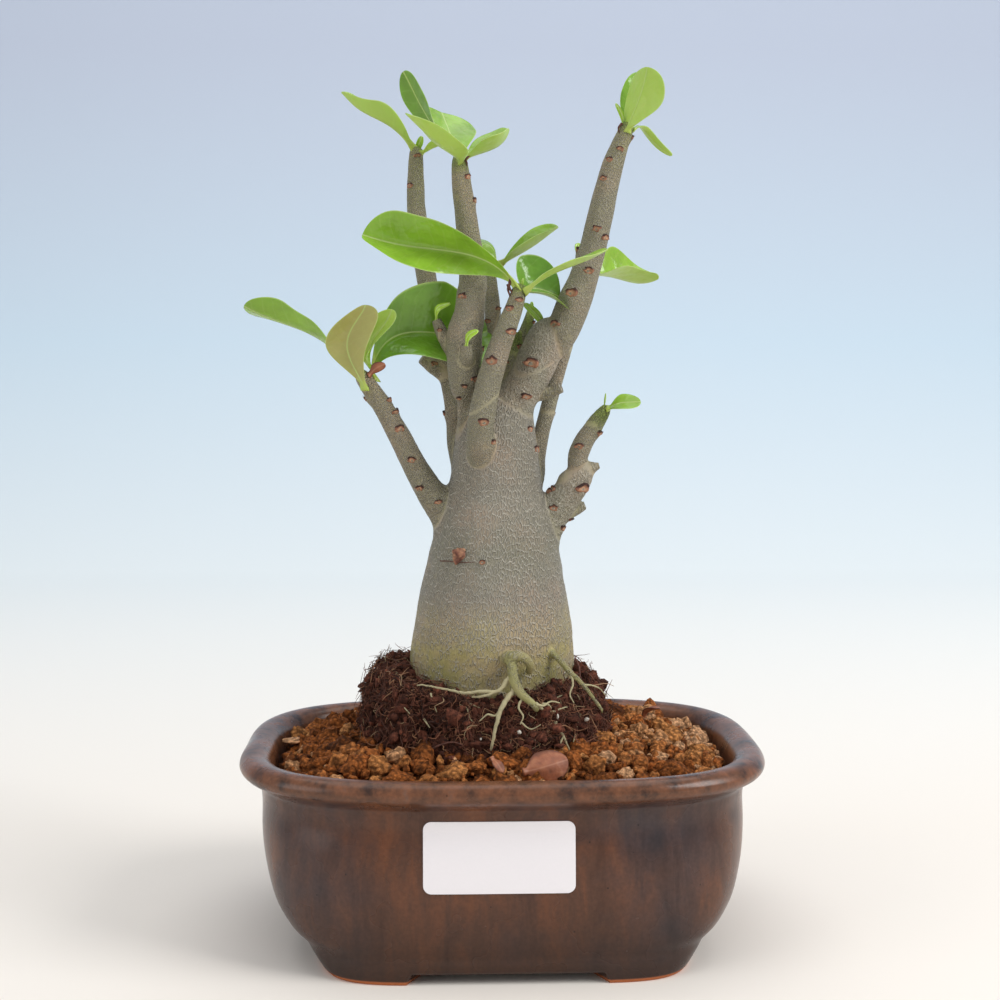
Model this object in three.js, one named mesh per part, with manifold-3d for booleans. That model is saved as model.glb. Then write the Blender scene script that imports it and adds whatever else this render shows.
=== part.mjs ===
// A desert rose (adenium) in an oval-cornered glazed bonsai pot.
//
// Millimetres, +Z up. The origin is the middle of the pot's footprint, on the surface the pot
// stands on; +X is the pot's right and -Y is its front.
//
// The swollen trunk, its limbs and its thick surface roots grew as one body, so they are one
// solid. It stands in a ball of peat and rootlets, which sits in a bed of clay granules in the
// pot. Every leaf is a solid of its own, and a plain paper label is stuck on the pot's front.

import * as THREE from 'three';
import { mergeVertices } from 'three/addons/utils/BufferGeometryUtils.js';
import Module from 'manifold-3d';

const wasm = await Module();
wasm.setup();

// ---------------------------------------------------------------- driving dimensions

const GAP = 0.3;                  // clearance between two pieces that touch

const POT_HEIGHT = 50;
const POT_HALF_WIDTH = 68;        // outermost line of the rolled lip, left to right
const POT_HALF_DEPTH = 52;        // outermost line of the rolled lip, front to back
const LIP_SQUARENESS = 3.2;       // power of the plan curve: 2 is an ellipse, high is a rectangle
const POT_SEGMENTS = 48;
const UNDERSIDE_Z = 2.6;          // the pot's belly clears the ground by this much
const FLOOR_Z = 8;                // top of the pot's floor, inside
const FOOT_INNER_X = 23.5;        // each foot runs from here out to the pot's corner
const FOOT_INNER_Y = 25;
const DRAIN_RADIUS = 6;
const DRAIN_X = 24;               // each drain hole's distance from the middle

const MESH_SIDE = 18;             // square of plastic mesh over each drain hole
const MESH_THICKNESS = 0.8;
const MESH_HOLES = 4;             // holes along each side of the square
const MESH_HOLE = 2.6;            // side of each hole

const LABEL_WIDTH = 35.6;
const LABEL_HEIGHT = 16.9;
const LABEL_CORNER = 2;
const LABEL_THICKNESS = 0.3;
const LABEL_X = -2.2;             // middle of the label
const LABEL_Z = 31.5;

const GRAVEL_WALL_Z = 45.2;       // the granules' level at the pot's wall
const GRAVEL_BACK_RISE = 2;       // how much higher it is at the back wall
const GRAVEL_CREST_Z = 51;        // and where they are heaped against the peat
const GRAVEL_LUMP = 0.6;          // how far the heap's surface is uneven

const PEAT_X = -4.8;              // the peat ball's middle is left of the trunk
const PEAT_HALF_WIDTH = 31.5;
const PEAT_HALF_DEPTH = 27.5;
const PEAT_BOTTOM_Z = 16;
const PEAT_FRONT_Z = 65;          // where the peat meets the trunk's front
const PEAT_SIDE_RISE = 5;         // it is banked up this much more at the sides and the back
const PEAT_LEFT_RISE = 3.6;       // and this much again on the left

const LEAF_THICKNESS = 0.7;
const STALK_WIDTH = 1.6;
const BLADE_END = 0.985;          // the blade is cut off this far along, where it is still open
const BLADE_TAPER = 1.25;         // power that draws the blade in towards its stalk
const SHORT_LEAF = 8;             // a leaf shorter than this has fewer faces

// ---------------------------------------------------------------- helpers

const smooth = (x) => {
  const t = Math.min(1, Math.max(0, x));
  return t * t * (3 - 2 * t);
};

// A number from -1 to 1 that varies with place, the same on every run.
const wobble = (x, y, z) => {
  const s = Math.sin(x * 12.9898 + y * 78.233 + z * 37.719) * 43758.5453;
  return 2 * (s - Math.floor(s)) - 1;
};

// The closed surface only, with shared vertices merged.
function closedSurface(geometry) {
  const bare = geometry.clone();
  for (const name of Object.keys(bare.attributes)) {
    if (name !== 'position') bare.deleteAttribute(name);
  }
  return mergeVertices(bare, 1e-4);
}

function toSolid(geometry) {
  const surface = closedSurface(geometry);
  return new wasm.Manifold(new wasm.Mesh({
    numProp: 3,
    vertProperties: new Float32Array(surface.attributes.position.array),
    triVerts: new Uint32Array(surface.index.array),
  }));
}

function toGeometry(solid) {
  const mesh = solid.getMesh();
  const geometry = new THREE.BufferGeometry();
  geometry.setAttribute('position', new THREE.BufferAttribute(new Float32Array(mesh.vertProperties), 3));
  geometry.setIndex(new THREE.BufferAttribute(new Uint32Array(mesh.triVerts), 1));
  geometry.computeVertexNormals();
  return geometry;
}

const joined = (solids) => solids.reduce((whole, solid) => whole.add(solid));

// The one large part of a cut solid, without the crumbs beyond the cut.
const largestPart = (solid) => solid.decompose().reduce((a, b) => (b.volume() > a.volume() ? b : a));

// Moves every vertex of a geometry with a function of its place.
function reshape(geometry, move) {
  const position = geometry.attributes.position;
  const point = new THREE.Vector3();
  for (let i = 0; i < position.count; i += 1) {
    point.fromBufferAttribute(position, i);
    move(point, i);
    position.setXYZ(i, point.x, point.y, point.z);
  }
  geometry.computeVertexNormals();
  return geometry;
}

function box(x0, x1, y0, y1, z0, z1) {
  const geometry = new THREE.BoxGeometry(x1 - x0, y1 - y0, z1 - z0);
  geometry.translate((x0 + x1) / 2, (y0 + y1) / 2, (z0 + z1) / 2);
  return toSolid(geometry);
}

// A solid of stacked plan curves. Each row is [half width, half depth, z, squareness]; the first
// and last rows lie on the axis. A plan curve is a superellipse of its row's squareness.
function planLoft(rows, segments) {
  const profile = rows.map(([halfWidth, , z]) => new THREE.Vector2(halfWidth, z));
  const geometry = new THREE.LatheGeometry(profile, segments);
  return reshape(geometry, (point, i) => {
    const [halfWidth, halfDepth, z, power = LIP_SQUARENESS] = rows[i % rows.length];
    const turn = Math.floor(i / rows.length) % segments;
    const angle = 2 * Math.PI * turn / segments;
    const c = Math.cos(angle);
    const s = Math.sin(angle);
    point.set(
      halfWidth * Math.sign(s) * Math.abs(s) ** (2 / power),
      -halfDepth * Math.sign(c) * Math.abs(c) ** (2 / power),
      z,
    );
  });
}

// ---------------------------------------------------------------- the pot

// Outside, from the belly's middle up to the crest of the lip.
const POT_OUTSIDE = [
  [0, 0, UNDERSIDE_Z],
  [40, 40, UNDERSIDE_Z, 5],
  [45.5, 45.6, 3.4, 5],
  [50, 47.6, 6, 4.8],
  [55.4, 48.6, 10, 4.4],
  [59.2, 49, 16, 4],
  [61.6, 49, 24, 3.6],
  [62.4, 48.4, 31, 3.4],
  [62.4, 47.4, 37.5, 3.2],
  [62.6, 47.4, 41],
  [65, 49.6, 43.8],
  [POT_HALF_WIDTH - 0.4, POT_HALF_DEPTH - 0.4, 45.4],
  [POT_HALF_WIDTH, POT_HALF_DEPTH, 47.2],
  [67, 51, 49],
  [64.8, 48.9, POT_HEIGHT],
];

// Inside, from the lip down to the floor's middle.
const POT_INSIDE = [
  [62.4, 46.6, 49.7],
  [60.4, 44.8, 48.2],
  [59.4, 44, 45],
  [58, 43.4, 36, 3.2],
  [57, 43.4, 26, 3.4],
  [55, 43, 18, 3.6],
  [51, 41, 12, 3.8],
  [43, 36, 8.8, 4],
  [34, 30, FLOOR_Z, 4],
  [0, 0, FLOOR_Z],
];

// A ring of clay under the belly, of which only the four corners are kept as feet.
const FOOT_ROWS = [
  [0, 0, 0],
  [45, 47, 0, 6],
  [46.6, 48, 0.9, 6],
  [50, 48.4, 4.6, 5.4],
  [51.6, 48.6, 7.4, 5],
  [30, 30, 8],
  [0, 0, 8],
];

function buildPot() {
  const body = toSolid(planLoft([...POT_OUTSIDE, ...POT_INSIDE], POT_SEGMENTS));
  const footRing = toSolid(planLoft(FOOT_ROWS, POT_SEGMENTS));
  const far = POT_HALF_WIDTH;
  const solids = [body];
  for (const sx of [-1, 1]) {
    for (const sy of [-1, 1]) {
      const corner = box(
        Math.min(sx * FOOT_INNER_X, sx * far), Math.max(sx * FOOT_INNER_X, sx * far),
        Math.min(sy * FOOT_INNER_Y, sy * far), Math.max(sy * FOOT_INNER_Y, sy * far),
        -1, UNDERSIDE_Z + 3,
      );
      solids.push(footRing.intersect(corner));
    }
  }
  let pot = joined(solids);
  for (const side of [-1, 1]) {
    const drill = new THREE.CylinderGeometry(DRAIN_RADIUS, DRAIN_RADIUS, FLOOR_Z + 4, 24);
    drill.rotateX(Math.PI / 2);
    drill.translate(side * DRAIN_X, 0, FLOOR_Z / 2 + 1);
    pot = pot.subtract(toSolid(drill));
  }
  return toGeometry(pot);
}

// Where the pot's front face lies at a place across it and a height.
function potFrontY(x, z) {
  const upper = POT_OUTSIDE.findIndex((row) => row[2] >= z && row[0] > 0);
  const low = POT_OUTSIDE[upper - 1];
  const high = POT_OUTSIDE[upper];
  const t = (z - low[2]) / (high[2] - low[2]);
  const faceY = ([halfWidth, halfDepth, , power = LIP_SQUARENESS]) => (
    -halfDepth * (1 - Math.abs(x / halfWidth) ** power) ** (1 / power)
  );
  return THREE.MathUtils.lerp(faceY(low), faceY(high), t);
}

// A thin sheet with rounded corners that follows the pot's front face.
function buildLabel() {
  const halfWidth = LABEL_WIDTH / 2;
  const halfHeight = LABEL_HEIGHT / 2;
  const geometry = new THREE.BoxGeometry(2, 1, 2, 6, 1, 8);
  return reshape(geometry, (point) => {
    const side = point.y;
    const v = Math.sign(point.z) * (1 - (1 - Math.abs(point.z)) ** 2) * halfHeight;
    const past = Math.max(0, Math.abs(v) - (halfHeight - LABEL_CORNER));
    const reach = halfWidth - LABEL_CORNER + Math.sqrt(LABEL_CORNER ** 2 - past ** 2);
    const x = LABEL_X + point.x * reach;
    const z = LABEL_Z + v;
    const away = GAP + LABEL_THICKNESS * (0.5 - side);
    point.set(x, potFrontY(x, z) - away, z);
  });
}

// A square of plastic mesh that keeps the granules from falling through a drain hole.
function buildDrainMesh() {
  const half = MESH_SIDE / 2;
  const pitch = MESH_SIDE / MESH_HOLES;
  const holes = [];
  for (let i = 0; i < MESH_HOLES; i += 1) {
    for (let j = 0; j < MESH_HOLES; j += 1) {
      const x = (i + 0.5) * pitch - half - MESH_HOLE / 2;
      const y = (j + 0.5) * pitch - half - MESH_HOLE / 2;
      holes.push(box(x, x + MESH_HOLE, y, y + MESH_HOLE, -1, MESH_THICKNESS + 1));
    }
  }
  return toGeometry(box(-half, half, -half, half, 0, MESH_THICKNESS).subtract(joined(holes)));
}

// ---------------------------------------------------------------- the plant's one grown body

// A limb is a round tube along a smooth curve. Each point is [x, y, z, radius].
function limb(points, sides, steps, extra = 0) {
  const path = new THREE.CatmullRomCurve3(points.map(([x, y, z]) => new THREE.Vector3(x, y, z)));
  const thickness = new THREE.SplineCurve(points.map(([, , , r], i) => new THREE.Vector2(i, r)));
  const rings = Array.from({ length: steps + 1 }, (_, i) => {
    const t = i / steps;
    return { centre: path.getPoint(t), along: path.getTangent(t), radius: thickness.getPoint(t).y + extra };
  });
  const geometry = new THREE.CylinderGeometry(1, 1, 1, sides, steps);
  const forward = new THREE.Vector3(0, -1, 0);
  const right = new THREE.Vector3();
  const front = new THREE.Vector3();
  reshape(geometry, (point) => {
    const ring = rings[Math.round((point.y + 0.5) * steps)];
    right.crossVectors(ring.along, forward).normalize();
    front.crossVectors(right, ring.along);
    const overrun = Math.abs(point.y) === 0.5 ? Math.sign(point.y) * extra : 0;
    const x = point.x * ring.radius;
    const z = point.z * ring.radius;
    point.copy(ring.centre);
    point.addScaledVector(right, x);
    point.addScaledVector(front, z);
    point.addScaledVector(ring.along, overrun);
  });
  return toSolid(geometry);
}

// The swollen trunk, from its rounded foot in the peat up to where the limbs part.
const TRUNK = [
  [-2.4, 0, 52, 15],
  [-2.5, 0, 56, 20],
  [-2.5, 0, 66, 21.7],
  [-2.4, 0, 76, 21.2],
  [-2, 0, 87, 19.3],
  [-1.8, 0, 96, 17.4],
  [-1.4, 0, 104, 15.6],
  [-1.6, 0, 112, 12.8],
  [-1.6, 0, 120, 11.7],
  [-1.5, 0, 127, 10.9],
  [-1.2, 0, 131, 9.8],
  [-0.4, 0, 134, 7.5],
  [0.4, 0, 136, 5],
];

// Limbs that carry the leaves: [points, sides, steps].
const LIMBS = [
  // low left limb
  [[[-8, 0, 103, 6], [-16.3, -1, 112, 4.2], [-22, -2.5, 121, 3.3], [-26.6, -4, 130, 2.9],
    [-31, -5.5, 138, 2.5], [-35.4, -7, 144.6, 2.1], [-36.6, -7.6, 146.6, 1.3]], 10, 11],
  // tall limb at the back left
  [[[-8, 2, 120, 4.5], [-11.2, 3.4, 127, 3], [-12.5, 4.5, 136.3, 2.2],
    [-14.3, 5.5, 145.3, 2.1], [-15.9, 6, 149.5, 2.2], [-17.6, 7.6, 160.5, 2.6],
    [-19.8, 9.5, 172.5, 2.7], [-22.2, 11, 189, 2.5], [-22.4, 12.6, 203.4, 2],
    [-22.1, 13, 206, 1.35]], 9, 13],
  // tall limb at the front left, thick to its pruning scar and slender above it
  [[[-8.2, -2, 130, 3.4], [-9, -3, 137, 2.6], [-9.4, -5, 140.1, 2.4],
    [-9.9, -6.5, 142.7, 3.4], [-9.9, -7.5, 146.1, 4.15], [-9.9, -8, 151.2, 4.5],
    [-9.8, -8, 156.3, 4.5], [-9, -8, 159.6, 4.2], [-8.5, -8, 162, 3.9],
    [-8.1, -8, 166.5, 3.7], [-7.6, -8, 170.4, 3.6], [-8.6, -8, 180.5, 3],
    [-9.6, -8, 188.1, 2.7], [-10.4, -8, 194.4, 2.45], [-10.9, -8, 199.4, 2.05],
    [-11, -8, 201.6, 1.4]], 10, 17],
  // middle limb, in front of all the others
  [[[-5.4, -8.6, 125, 3.4], [-5.8, -10.6, 128.2, 3.6], [-5.9, -12, 132.1, 3.35],
    [-5.2, -12.6, 137.2, 3.3], [-3.9, -13, 143.6, 3.2], [-1.6, -13.4, 151.2, 3],
    [0.6, -13.8, 157.5, 2.65], [2.7, -14, 163, 2.2], [3.9, -14, 167, 1.85],
    [4.2, -14, 168.3, 1.3]], 10, 12],
  // right limb, its thick stump
  [[[0.9, -1, 133, 5.3], [3.7, -1.5, 139.5, 5.2], [6.9, -2, 144.8, 5.1],
    [9.2, -2, 149.5, 5.2], [11, -2, 153.9, 5.2], [12, -2, 156.3, 4.6],
    [12.4, -2, 157.6, 3.4]], 12, 8],
  // right limb, the slender shoot that goes on from the stump
  [[[14.4, -2.5, 153.9, 3.2], [15.7, -3, 157, 4], [17.2, -3.2, 160.9, 4.3],
    [19, -3.4, 165.5, 4.3], [21, -3.6, 170.7, 3.8], [23.4, -4, 178.4, 3.4],
    [25.1, -4.4, 186, 3.3], [26.8, -4.8, 193.6, 3], [28.5, -5.2, 200, 2.7],
    [30.3, -5.6, 205, 2.2], [31.7, -6, 208.7, 1.8], [32.1, -6, 210, 1.3]], 10, 14],
  // low right limb, its thick stump
  [[[7, -1, 101, 6], [11, -1.6, 106, 4.8], [13.2, -2, 109.3, 4.3],
    [15.8, -2.4, 112.7, 4.2], [18.4, -2.8, 116.7, 3.9], [20.6, -3, 120, 3.7],
    [21.6, -3, 121.5, 3.3]], 10, 7],
  // low right limb, its slender shoot
  [[[19.6, -3, 121, 2.2], [19.7, -3, 122.6, 2.45], [20, -3, 124.9, 2.62],
    [21, -3.4, 127.8, 2.62], [23, -3.8, 131.2, 2.36], [25.1, -4.2, 134.4, 2.1],
    [26.6, -4.6, 136.5, 1.6], [27.2, -5, 137.8, 1.05]], 9, 8],
  // thin limb between the two left ones and the middle one
  [[[0, 0, 138, 2.4], [-0.4, 1, 143.4, 2.1], [-1.1, 3, 151.3, 2.1],
    [-2.1, 4.6, 157.9, 2.15], [-2.1, 5.6, 163.2, 2.15], [-2.5, 6.4, 168.6, 1.9],
    [-2.6, 7, 172.5, 1.5], [-2.2, 7, 174.4, 1.1]], 8, 9],
  // limb behind the right one
  [[[4, 1, 112, 4.5], [7.9, 2, 118.3, 3.4], [9.5, 3, 124.6, 2.4], [10.7, 4, 130.1, 2.1],
    [12.6, 5, 137.3, 2.05], [14.6, 6, 144.7, 2], [16.7, 7, 151.6, 2],
    [18.6, 8.3, 158.5, 2.1], [21.4, 10.2, 167, 2.2], [23.6, 11.4, 172.5, 1.8],
    [24, 12, 175, 1.3]], 9, 12],
  // short fork behind the middle limb
  [[[0.6, 0, 136, 3.4], [1.8, 0, 141, 2.4], [2.5, 0.2, 144.4, 2.1], [3.3, 0.8, 149, 1.95],
    [3.6, 1.4, 153.9, 1.7], [3.8, 2, 157.1, 1.4]], 8, 6],
  // and its side shoot
  [[[3.4, 1.4, 150, 1.5], [4.3, 2.2, 153.4, 1.5], [5.6, 3.2, 156, 1.5],
    [7.2, 4.6, 160.1, 1.35], [8.1, 6, 163, 1]], 7, 5],
];

// Cut ends and side buds: short tapering stumps.
const STUMPS = [
  [[-13.4, 6, 145.6, 2.3], [-17.6, 5, 148, 2], [-21, 4, 150.4, 1.4]],
  [[-12.5, -6, 151.5, 1.9], [-15.2, -5.2, 156, 1.7], [-17, -4.6, 160.2, 1.2]],
  [[-9.6, -9.5, 149, 2.1], [-9.3, -12.6, 150.6, 1.8], [-9.4, -14.4, 153.6, 1.3]],
  [[10.5, -2, 141, 1.7], [12.8, -3, 141.6, 1.45], [15.4, -4, 142.8, 1.25]],
  [[17, -3, 117.5, 3], [21.5, -3, 121.6, 2.4], [25.6, -3, 123, 0.9]],
  [[14, -2, 110.5, 2.2], [18.4, -2, 110.6, 1.9], [22, -2, 111.8, 1]],
];

// Thick roots that grow out over the front of the peat.
const SURFACE_ROOTS = [
  [[4, -18, 78, 1], [2, -21.8, 75, 2], [0.8, -24, 71.5, 1.7], [2.4, -25.6, 67.6, 1.9],
    [7.6, -27.6, 63.4, 1.1]],
  [[2, -20.4, 75.6, 1.4], [5.4, -21.6, 74, 1.5], [5.2, -23.4, 69.6, 1]],
  [[1.6, -24.2, 70, 1.2], [-4.2, -26.2, 67, 1], [-13.8, -23, 66.8, 0.8], [-22, -17.5, 67, 0.6]],
  [[2, -25, 68, 1.1], [-0.8, -27.4, 63.4, 0.9], [-1.8, -28.4, 59, 0.8], [-3.4, -29, 54.4, 0.5]],
  [[13, -15.4, 76, 1.1], [16.2, -17.8, 71, 1.3], [19.6, -19, 68.2, 1], [23.4, -20, 63, 0.7],
    [26, -21, 59.6, 0.4]],
];

const TRUNK_SIDES = 24;
const TRUNK_STEPS = 16;

function buildGrownBody(extra) {
  return joined([
    limb(TRUNK, TRUNK_SIDES, TRUNK_STEPS, extra),
    ...LIMBS.map(([points, sides, steps]) => limb(points, sides, steps, extra)),
    ...STUMPS.map((points) => limb(points, 7, 3, extra)),
    ...SURFACE_ROOTS.map((points) => limb(points, 6, 2 * (points.length - 1), extra)),
  ]);
}

// ---------------------------------------------------------------- leaves

// A leaf blade is a thin slab, narrow at its stalk and round at its end.
//   base, tip  the stalk's foot and the blade's end
//   width      across the widest place
//   roll       turn about the line from base to tip; 0 has the upper side facing up
//   twist      how much further the end is turned than the foot
//   bow        how far the midrib stands off that line, towards the upper side
//   sweep      how far the midrib bends sideways off that line
//   peak       how far along bow and sweep are greatest, from 0 to 1
//   fold       how far each half is folded up from the midrib, in degrees
//   widest     how far along the blade is widest, from 0 to 1
//   blunt      power of the end's curve: 2 is an ellipse, less is pointed
function leafGeometry({
  base, tip, width, roll = 0, twist = 0, bow = 0, sweep = 0, peak = 0.5, fold = 0,
  widest = 0.6, blunt = 2.2,
}) {
  const from = new THREE.Vector3(...base);
  const to = new THREE.Vector3(...tip);
  const along = to.clone().sub(from);
  const length = along.length();
  along.normalize();
  const level = new THREE.Vector3(0, 0, 1);
  level.addScaledVector(along, -along.z).normalize();
  const up = new THREE.Vector3();
  const side = new THREE.Vector3();
  const rise = Math.tan(THREE.MathUtils.degToRad(fold));
  const stalk = Math.min(STALK_WIDTH, width / 2) / width;
  const early = 3 * peak;
  const late = 3 - early;
  const crest = peak ** early * (1 - peak) ** late;
  const segments = length < SHORT_LEAF ? 4 : 9;
  const geometry = new THREE.BoxGeometry(2, 1, 1, 2, segments, 1);
  return reshape(geometry, (point) => {
    const across = point.x;
    const t = point.y + 0.5;
    const layer = point.z * LEAF_THICKNESS;
    const arch = t ** early * (1 - t) ** late / crest;
    const past = (Math.min(t, BLADE_END) - widest) / (1 - widest);
    const outline = past < 0
      ? Math.sin(0.5 * Math.PI * t / widest) ** BLADE_TAPER
      : Math.sqrt(1 - past ** blunt);
    const half = across * Math.max(stalk, outline) * width / 2;
    up.copy(level).applyAxisAngle(along, THREE.MathUtils.degToRad(roll + twist * (t - 0.5)));
    side.crossVectors(along, up);
    point.copy(from);
    point.addScaledVector(along, t * length);
    point.addScaledVector(side, half + sweep * arch);
    point.addScaledVector(up, Math.abs(half) * rise + bow * arch + layer);
  });
}

const LEAVES = [
  // rosette on the low left limb
  { name: 'leaf_low_left_long', base: [-36, -3.4, 144.4], tip: [-66.5, -4.6, 164],
    width: 13.3, roll: -172.7, twist: 62.7, bow: -3.2, sweep: -1.6, peak: 0.46, fold: -23,
    widest: 0.76, blunt: 1.73 },
  { name: 'leaf_low_left_khaki', base: [-35.1, -9.8, 142.2], tip: [-35, -13.4, 163.8],
    width: 11.1, roll: -4.9, twist: 40, bow: 2.4, sweep: 4.9, peak: 0.48, fold: -28.8, widest: 0.65 },
  { name: 'leaf_low_left_small', base: [-32.1, -5.7, 144.4], tip: [-28.4, -7.4, 162.9],
    width: 9.4, roll: -121.4, twist: 66.6, bow: -3.1, sweep: 1.9, peak: 0.36, fold: -35.7,
    widest: 0.62, blunt: 1.7 },
  { name: 'leaf_low_left_large', base: [-34.2, -2.8, 144.3], tip: [-3.2, 3.4, 157.7],
    width: 25.5, roll: 73, twist: -9.5, bow: 2, sweep: -8, peak: 0.32, fold: 36, widest: 0.8,
    blunt: 1.45 },
  { name: 'leaf_low_left_dead', base: [-34.4, -8.2, 146], tip: [-30.2, -9.2, 149],
    width: 2.8, roll: -62, sweep: 0.5 },
  // rosette on the tall limb at the back left
  { name: 'leaf_back_left_long', base: [-22.7, 12.6, 205.5], tip: [-42.3, 15.7, 221.6],
    width: 7.2, roll: 22.1, twist: -73.5, bow: -1, sweep: -4.1, peak: 0.45, fold: 46.7,
    widest: 0.57, blunt: 1.14 },
  { name: 'leaf_back_left_bud', base: [-22.5, 14.2, 204.8], tip: [-20.8, 13, 209.7],
    width: 1.9, roll: 113 },
  { name: 'leaf_back_left_short', base: [-21.2, 12.4, 205], tip: [-14.4, 10.6, 207.6],
    width: 4.2, roll: 5, bow: 0.3, sweep: 0.3, fold: 40, widest: 0.62 },
  // rosette on the tall limb at the front left
  { name: 'leaf_front_left_upright', base: [-11.1, -7.2, 200.3], tip: [-25.1, -9.8, 222.5],
    width: 8.1, roll: -163.4, twist: 63, sweep: -1.5, peak: 0.39, fold: 19.8, widest: 0.66,
    blunt: 1.8 },
  { name: 'leaf_front_left_near', base: [-10.8, -9.2, 200], tip: [-23.9, -21.8, 209.9],
    width: 12, roll: -9.9, twist: -20.3, bow: -2, sweep: -5.2, peak: 0.35, fold: 17.4, widest: 0.55 },
  { name: 'leaf_front_left_behind', base: [-10.7, -5.4, 201.1], tip: [-15.7, 7.8, 215],
    width: 15.7, roll: 4.1, twist: 24.7, bow: 0.4, sweep: -0.3, peak: 0.38, fold: 10.5,
    widest: 0.69, blunt: 2.75 },
  { name: 'leaf_front_left_right', base: [-10.3, -8.8, 200.8], tip: [1.6, -7.3, 208.5],
    width: 11.5, roll: 9.1, twist: 5.6, bow: -1.5, sweep: 2.1, peak: 0.65, fold: 34.1,
    widest: 0.61, blunt: 1.6 },
  // rosette on the middle limb
  { name: 'leaf_middle_long', base: [4.2, -14.4, 167.2], tip: [-35.5, -16, 181],
    width: 13, roll: -94.6, twist: 74.7, bow: -2.4, sweep: 4, peak: 0.33, fold: 48.7, widest: 0.67,
    blunt: 3.5 },
  { name: 'leaf_middle_curled', base: [5.2, -12.6, 167.7], tip: [15.2, -2.7, 166],
    width: 16.8, roll: 42.7, twist: 44.9, bow: -2.1, sweep: -4.3, fold: 29.6, widest: 0.47,
    blunt: 3.6 },
  { name: 'leaf_middle_narrow', base: [5.1, -15, 166.8], tip: [26.4, -13.3, 177.9],
    width: 5.9, roll: -6.1, twist: 40.8, bow: 0.6, sweep: 3.1, peak: 0.42, fold: 20.7,
    widest: 0.62, blunt: 3.06 },
  { name: 'leaf_middle_bud', base: [3.9, -13.4, 166.6], tip: [5, -14.6, 170.5],
    width: 0.9, roll: 100 },
  // two small leaves on the thin limb
  { name: 'leaf_thin_left', base: [-1.8, 7, 174.2], tip: [-11, 3.2, 183.3],
    width: 9.2, roll: -31.8, twist: 63.7, bow: 1.2, sweep: 5.3, peak: 0.35, fold: -9.6,
    widest: 0.56, blunt: 2.6 },
  { name: 'leaf_thin_right', base: [-0.4, 7.2, 175.3], tip: [15.2, 5.4, 185.2],
    width: 7.2, roll: 19.2, twist: 25.3, bow: 0.2, sweep: 2.8, peak: 0.39, fold: 42.7, widest: 0.5,
    blunt: 2.1 },
  // limb behind the right one
  { name: 'leaf_back_right_long', base: [23.4, 12, 173.3], tip: [43.1, 14, 172.2],
    width: 14.9, roll: 22.2, twist: -37.3, bow: -2.2, sweep: -4.4, peak: 0.67, fold: 40.4,
    widest: 0.45, blunt: 1.66 },
  { name: 'leaf_back_right_small', base: [22.8, 12.4, 173.9], tip: [20.7, 12, 181.4],
    width: 3.9, roll: -62, bow: 0.3, sweep: 0.5, widest: 0.62 },
  // rosette on the right limb
  { name: 'leaf_right_bright', base: [31.8, -7, 207.9], tip: [37, -8.8, 224.1],
    width: 15.4, roll: -126.6, twist: -15.8, bow: 0.4, sweep: -0.5, peak: 0.58, fold: 9,
    widest: 0.66, blunt: 2.7 },
  { name: 'leaf_right_behind', base: [32, -3, 208.3], tip: [36.2, 3.4, 224.9],
    width: 5.6, roll: 33, twist: 29.2, bow: 0.9, sweep: -0.8, peak: 0.55, fold: 6.2, widest: 0.61,
    blunt: 2.8 },
  { name: 'leaf_right_bud', base: [31.2, -6.2, 208.6], tip: [29.1, -6, 215.5],
    width: 1.3, roll: -75, sweep: 0.6 },
  { name: 'leaf_right_drooping', base: [33.2, -5.8, 208.6], tip: [45, 3.6, 203.6],
    width: 3.1, roll: -1.4, twist: -49.4, bow: 3.4, sweep: -2.9, peak: 0.42, fold: 22.1,
    widest: 0.46 },
  // low right limb
  { name: 'leaf_low_right', base: [27.3, -5.2, 137.2], tip: [35.8, -8, 139.1],
    width: 6, roll: 40, twist: 10, bow: 1.2, sweep: 0.4, peak: 0.45, fold: 12, widest: 0.5 },
  { name: 'leaf_low_right_bud', base: [26.6, -4, 137.2], tip: [27, -5, 141.4],
    width: 0.8, roll: 81 },
  // little shoots out of stumps and forks
  { name: 'sprout_left', base: [-17, -4.6, 159.6], tip: [-13.5, -6, 164.6],
    width: 2.3, roll: 63, bow: 1.5, sweep: -1 },
  { name: 'sprout_front', base: [-9.4, -14.2, 153], tip: [-6.5, -16, 157.4],
    width: 2.4, roll: 69, bow: 0.9, sweep: -0.6, fold: 14 },
  { name: 'sprout_fork', base: [8.1, 6, 162.4], tip: [8.3, 6, 165.5],
    width: 1.1, roll: 90 },
  { name: 'sprout_right', base: [12, -2.8, 157.4], tip: [5.8, -1, 164.8],
    width: 3.6, roll: -30, sweep: 0.7, fold: 9 },
];

// ---------------------------------------------------------------- peat, granules and litter

// The peat ball: [radius factor, z] rows turned about its own axis and made lumpy.
const PEAT_ROWS = [
  [0, PEAT_BOTTOM_Z],
  [0.7, PEAT_BOTTOM_Z],
  [0.95, 22],
  [1.04, 36],
  [1.04, 48],
  [1.02, 53],
  [0.98, 58],
  [0.87, 62.5],
  [0.76, PEAT_FRONT_Z],
  [0, PEAT_FRONT_Z],
];
const PEAT_LUMP = 0.9;            // how far a lump stands out
const PEAT_SEGMENTS = 24;
const PEAT_SQUARENESS = 2.2;
const PEAT_FLAT_Z = 50;           // below this height nothing is banked up

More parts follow.
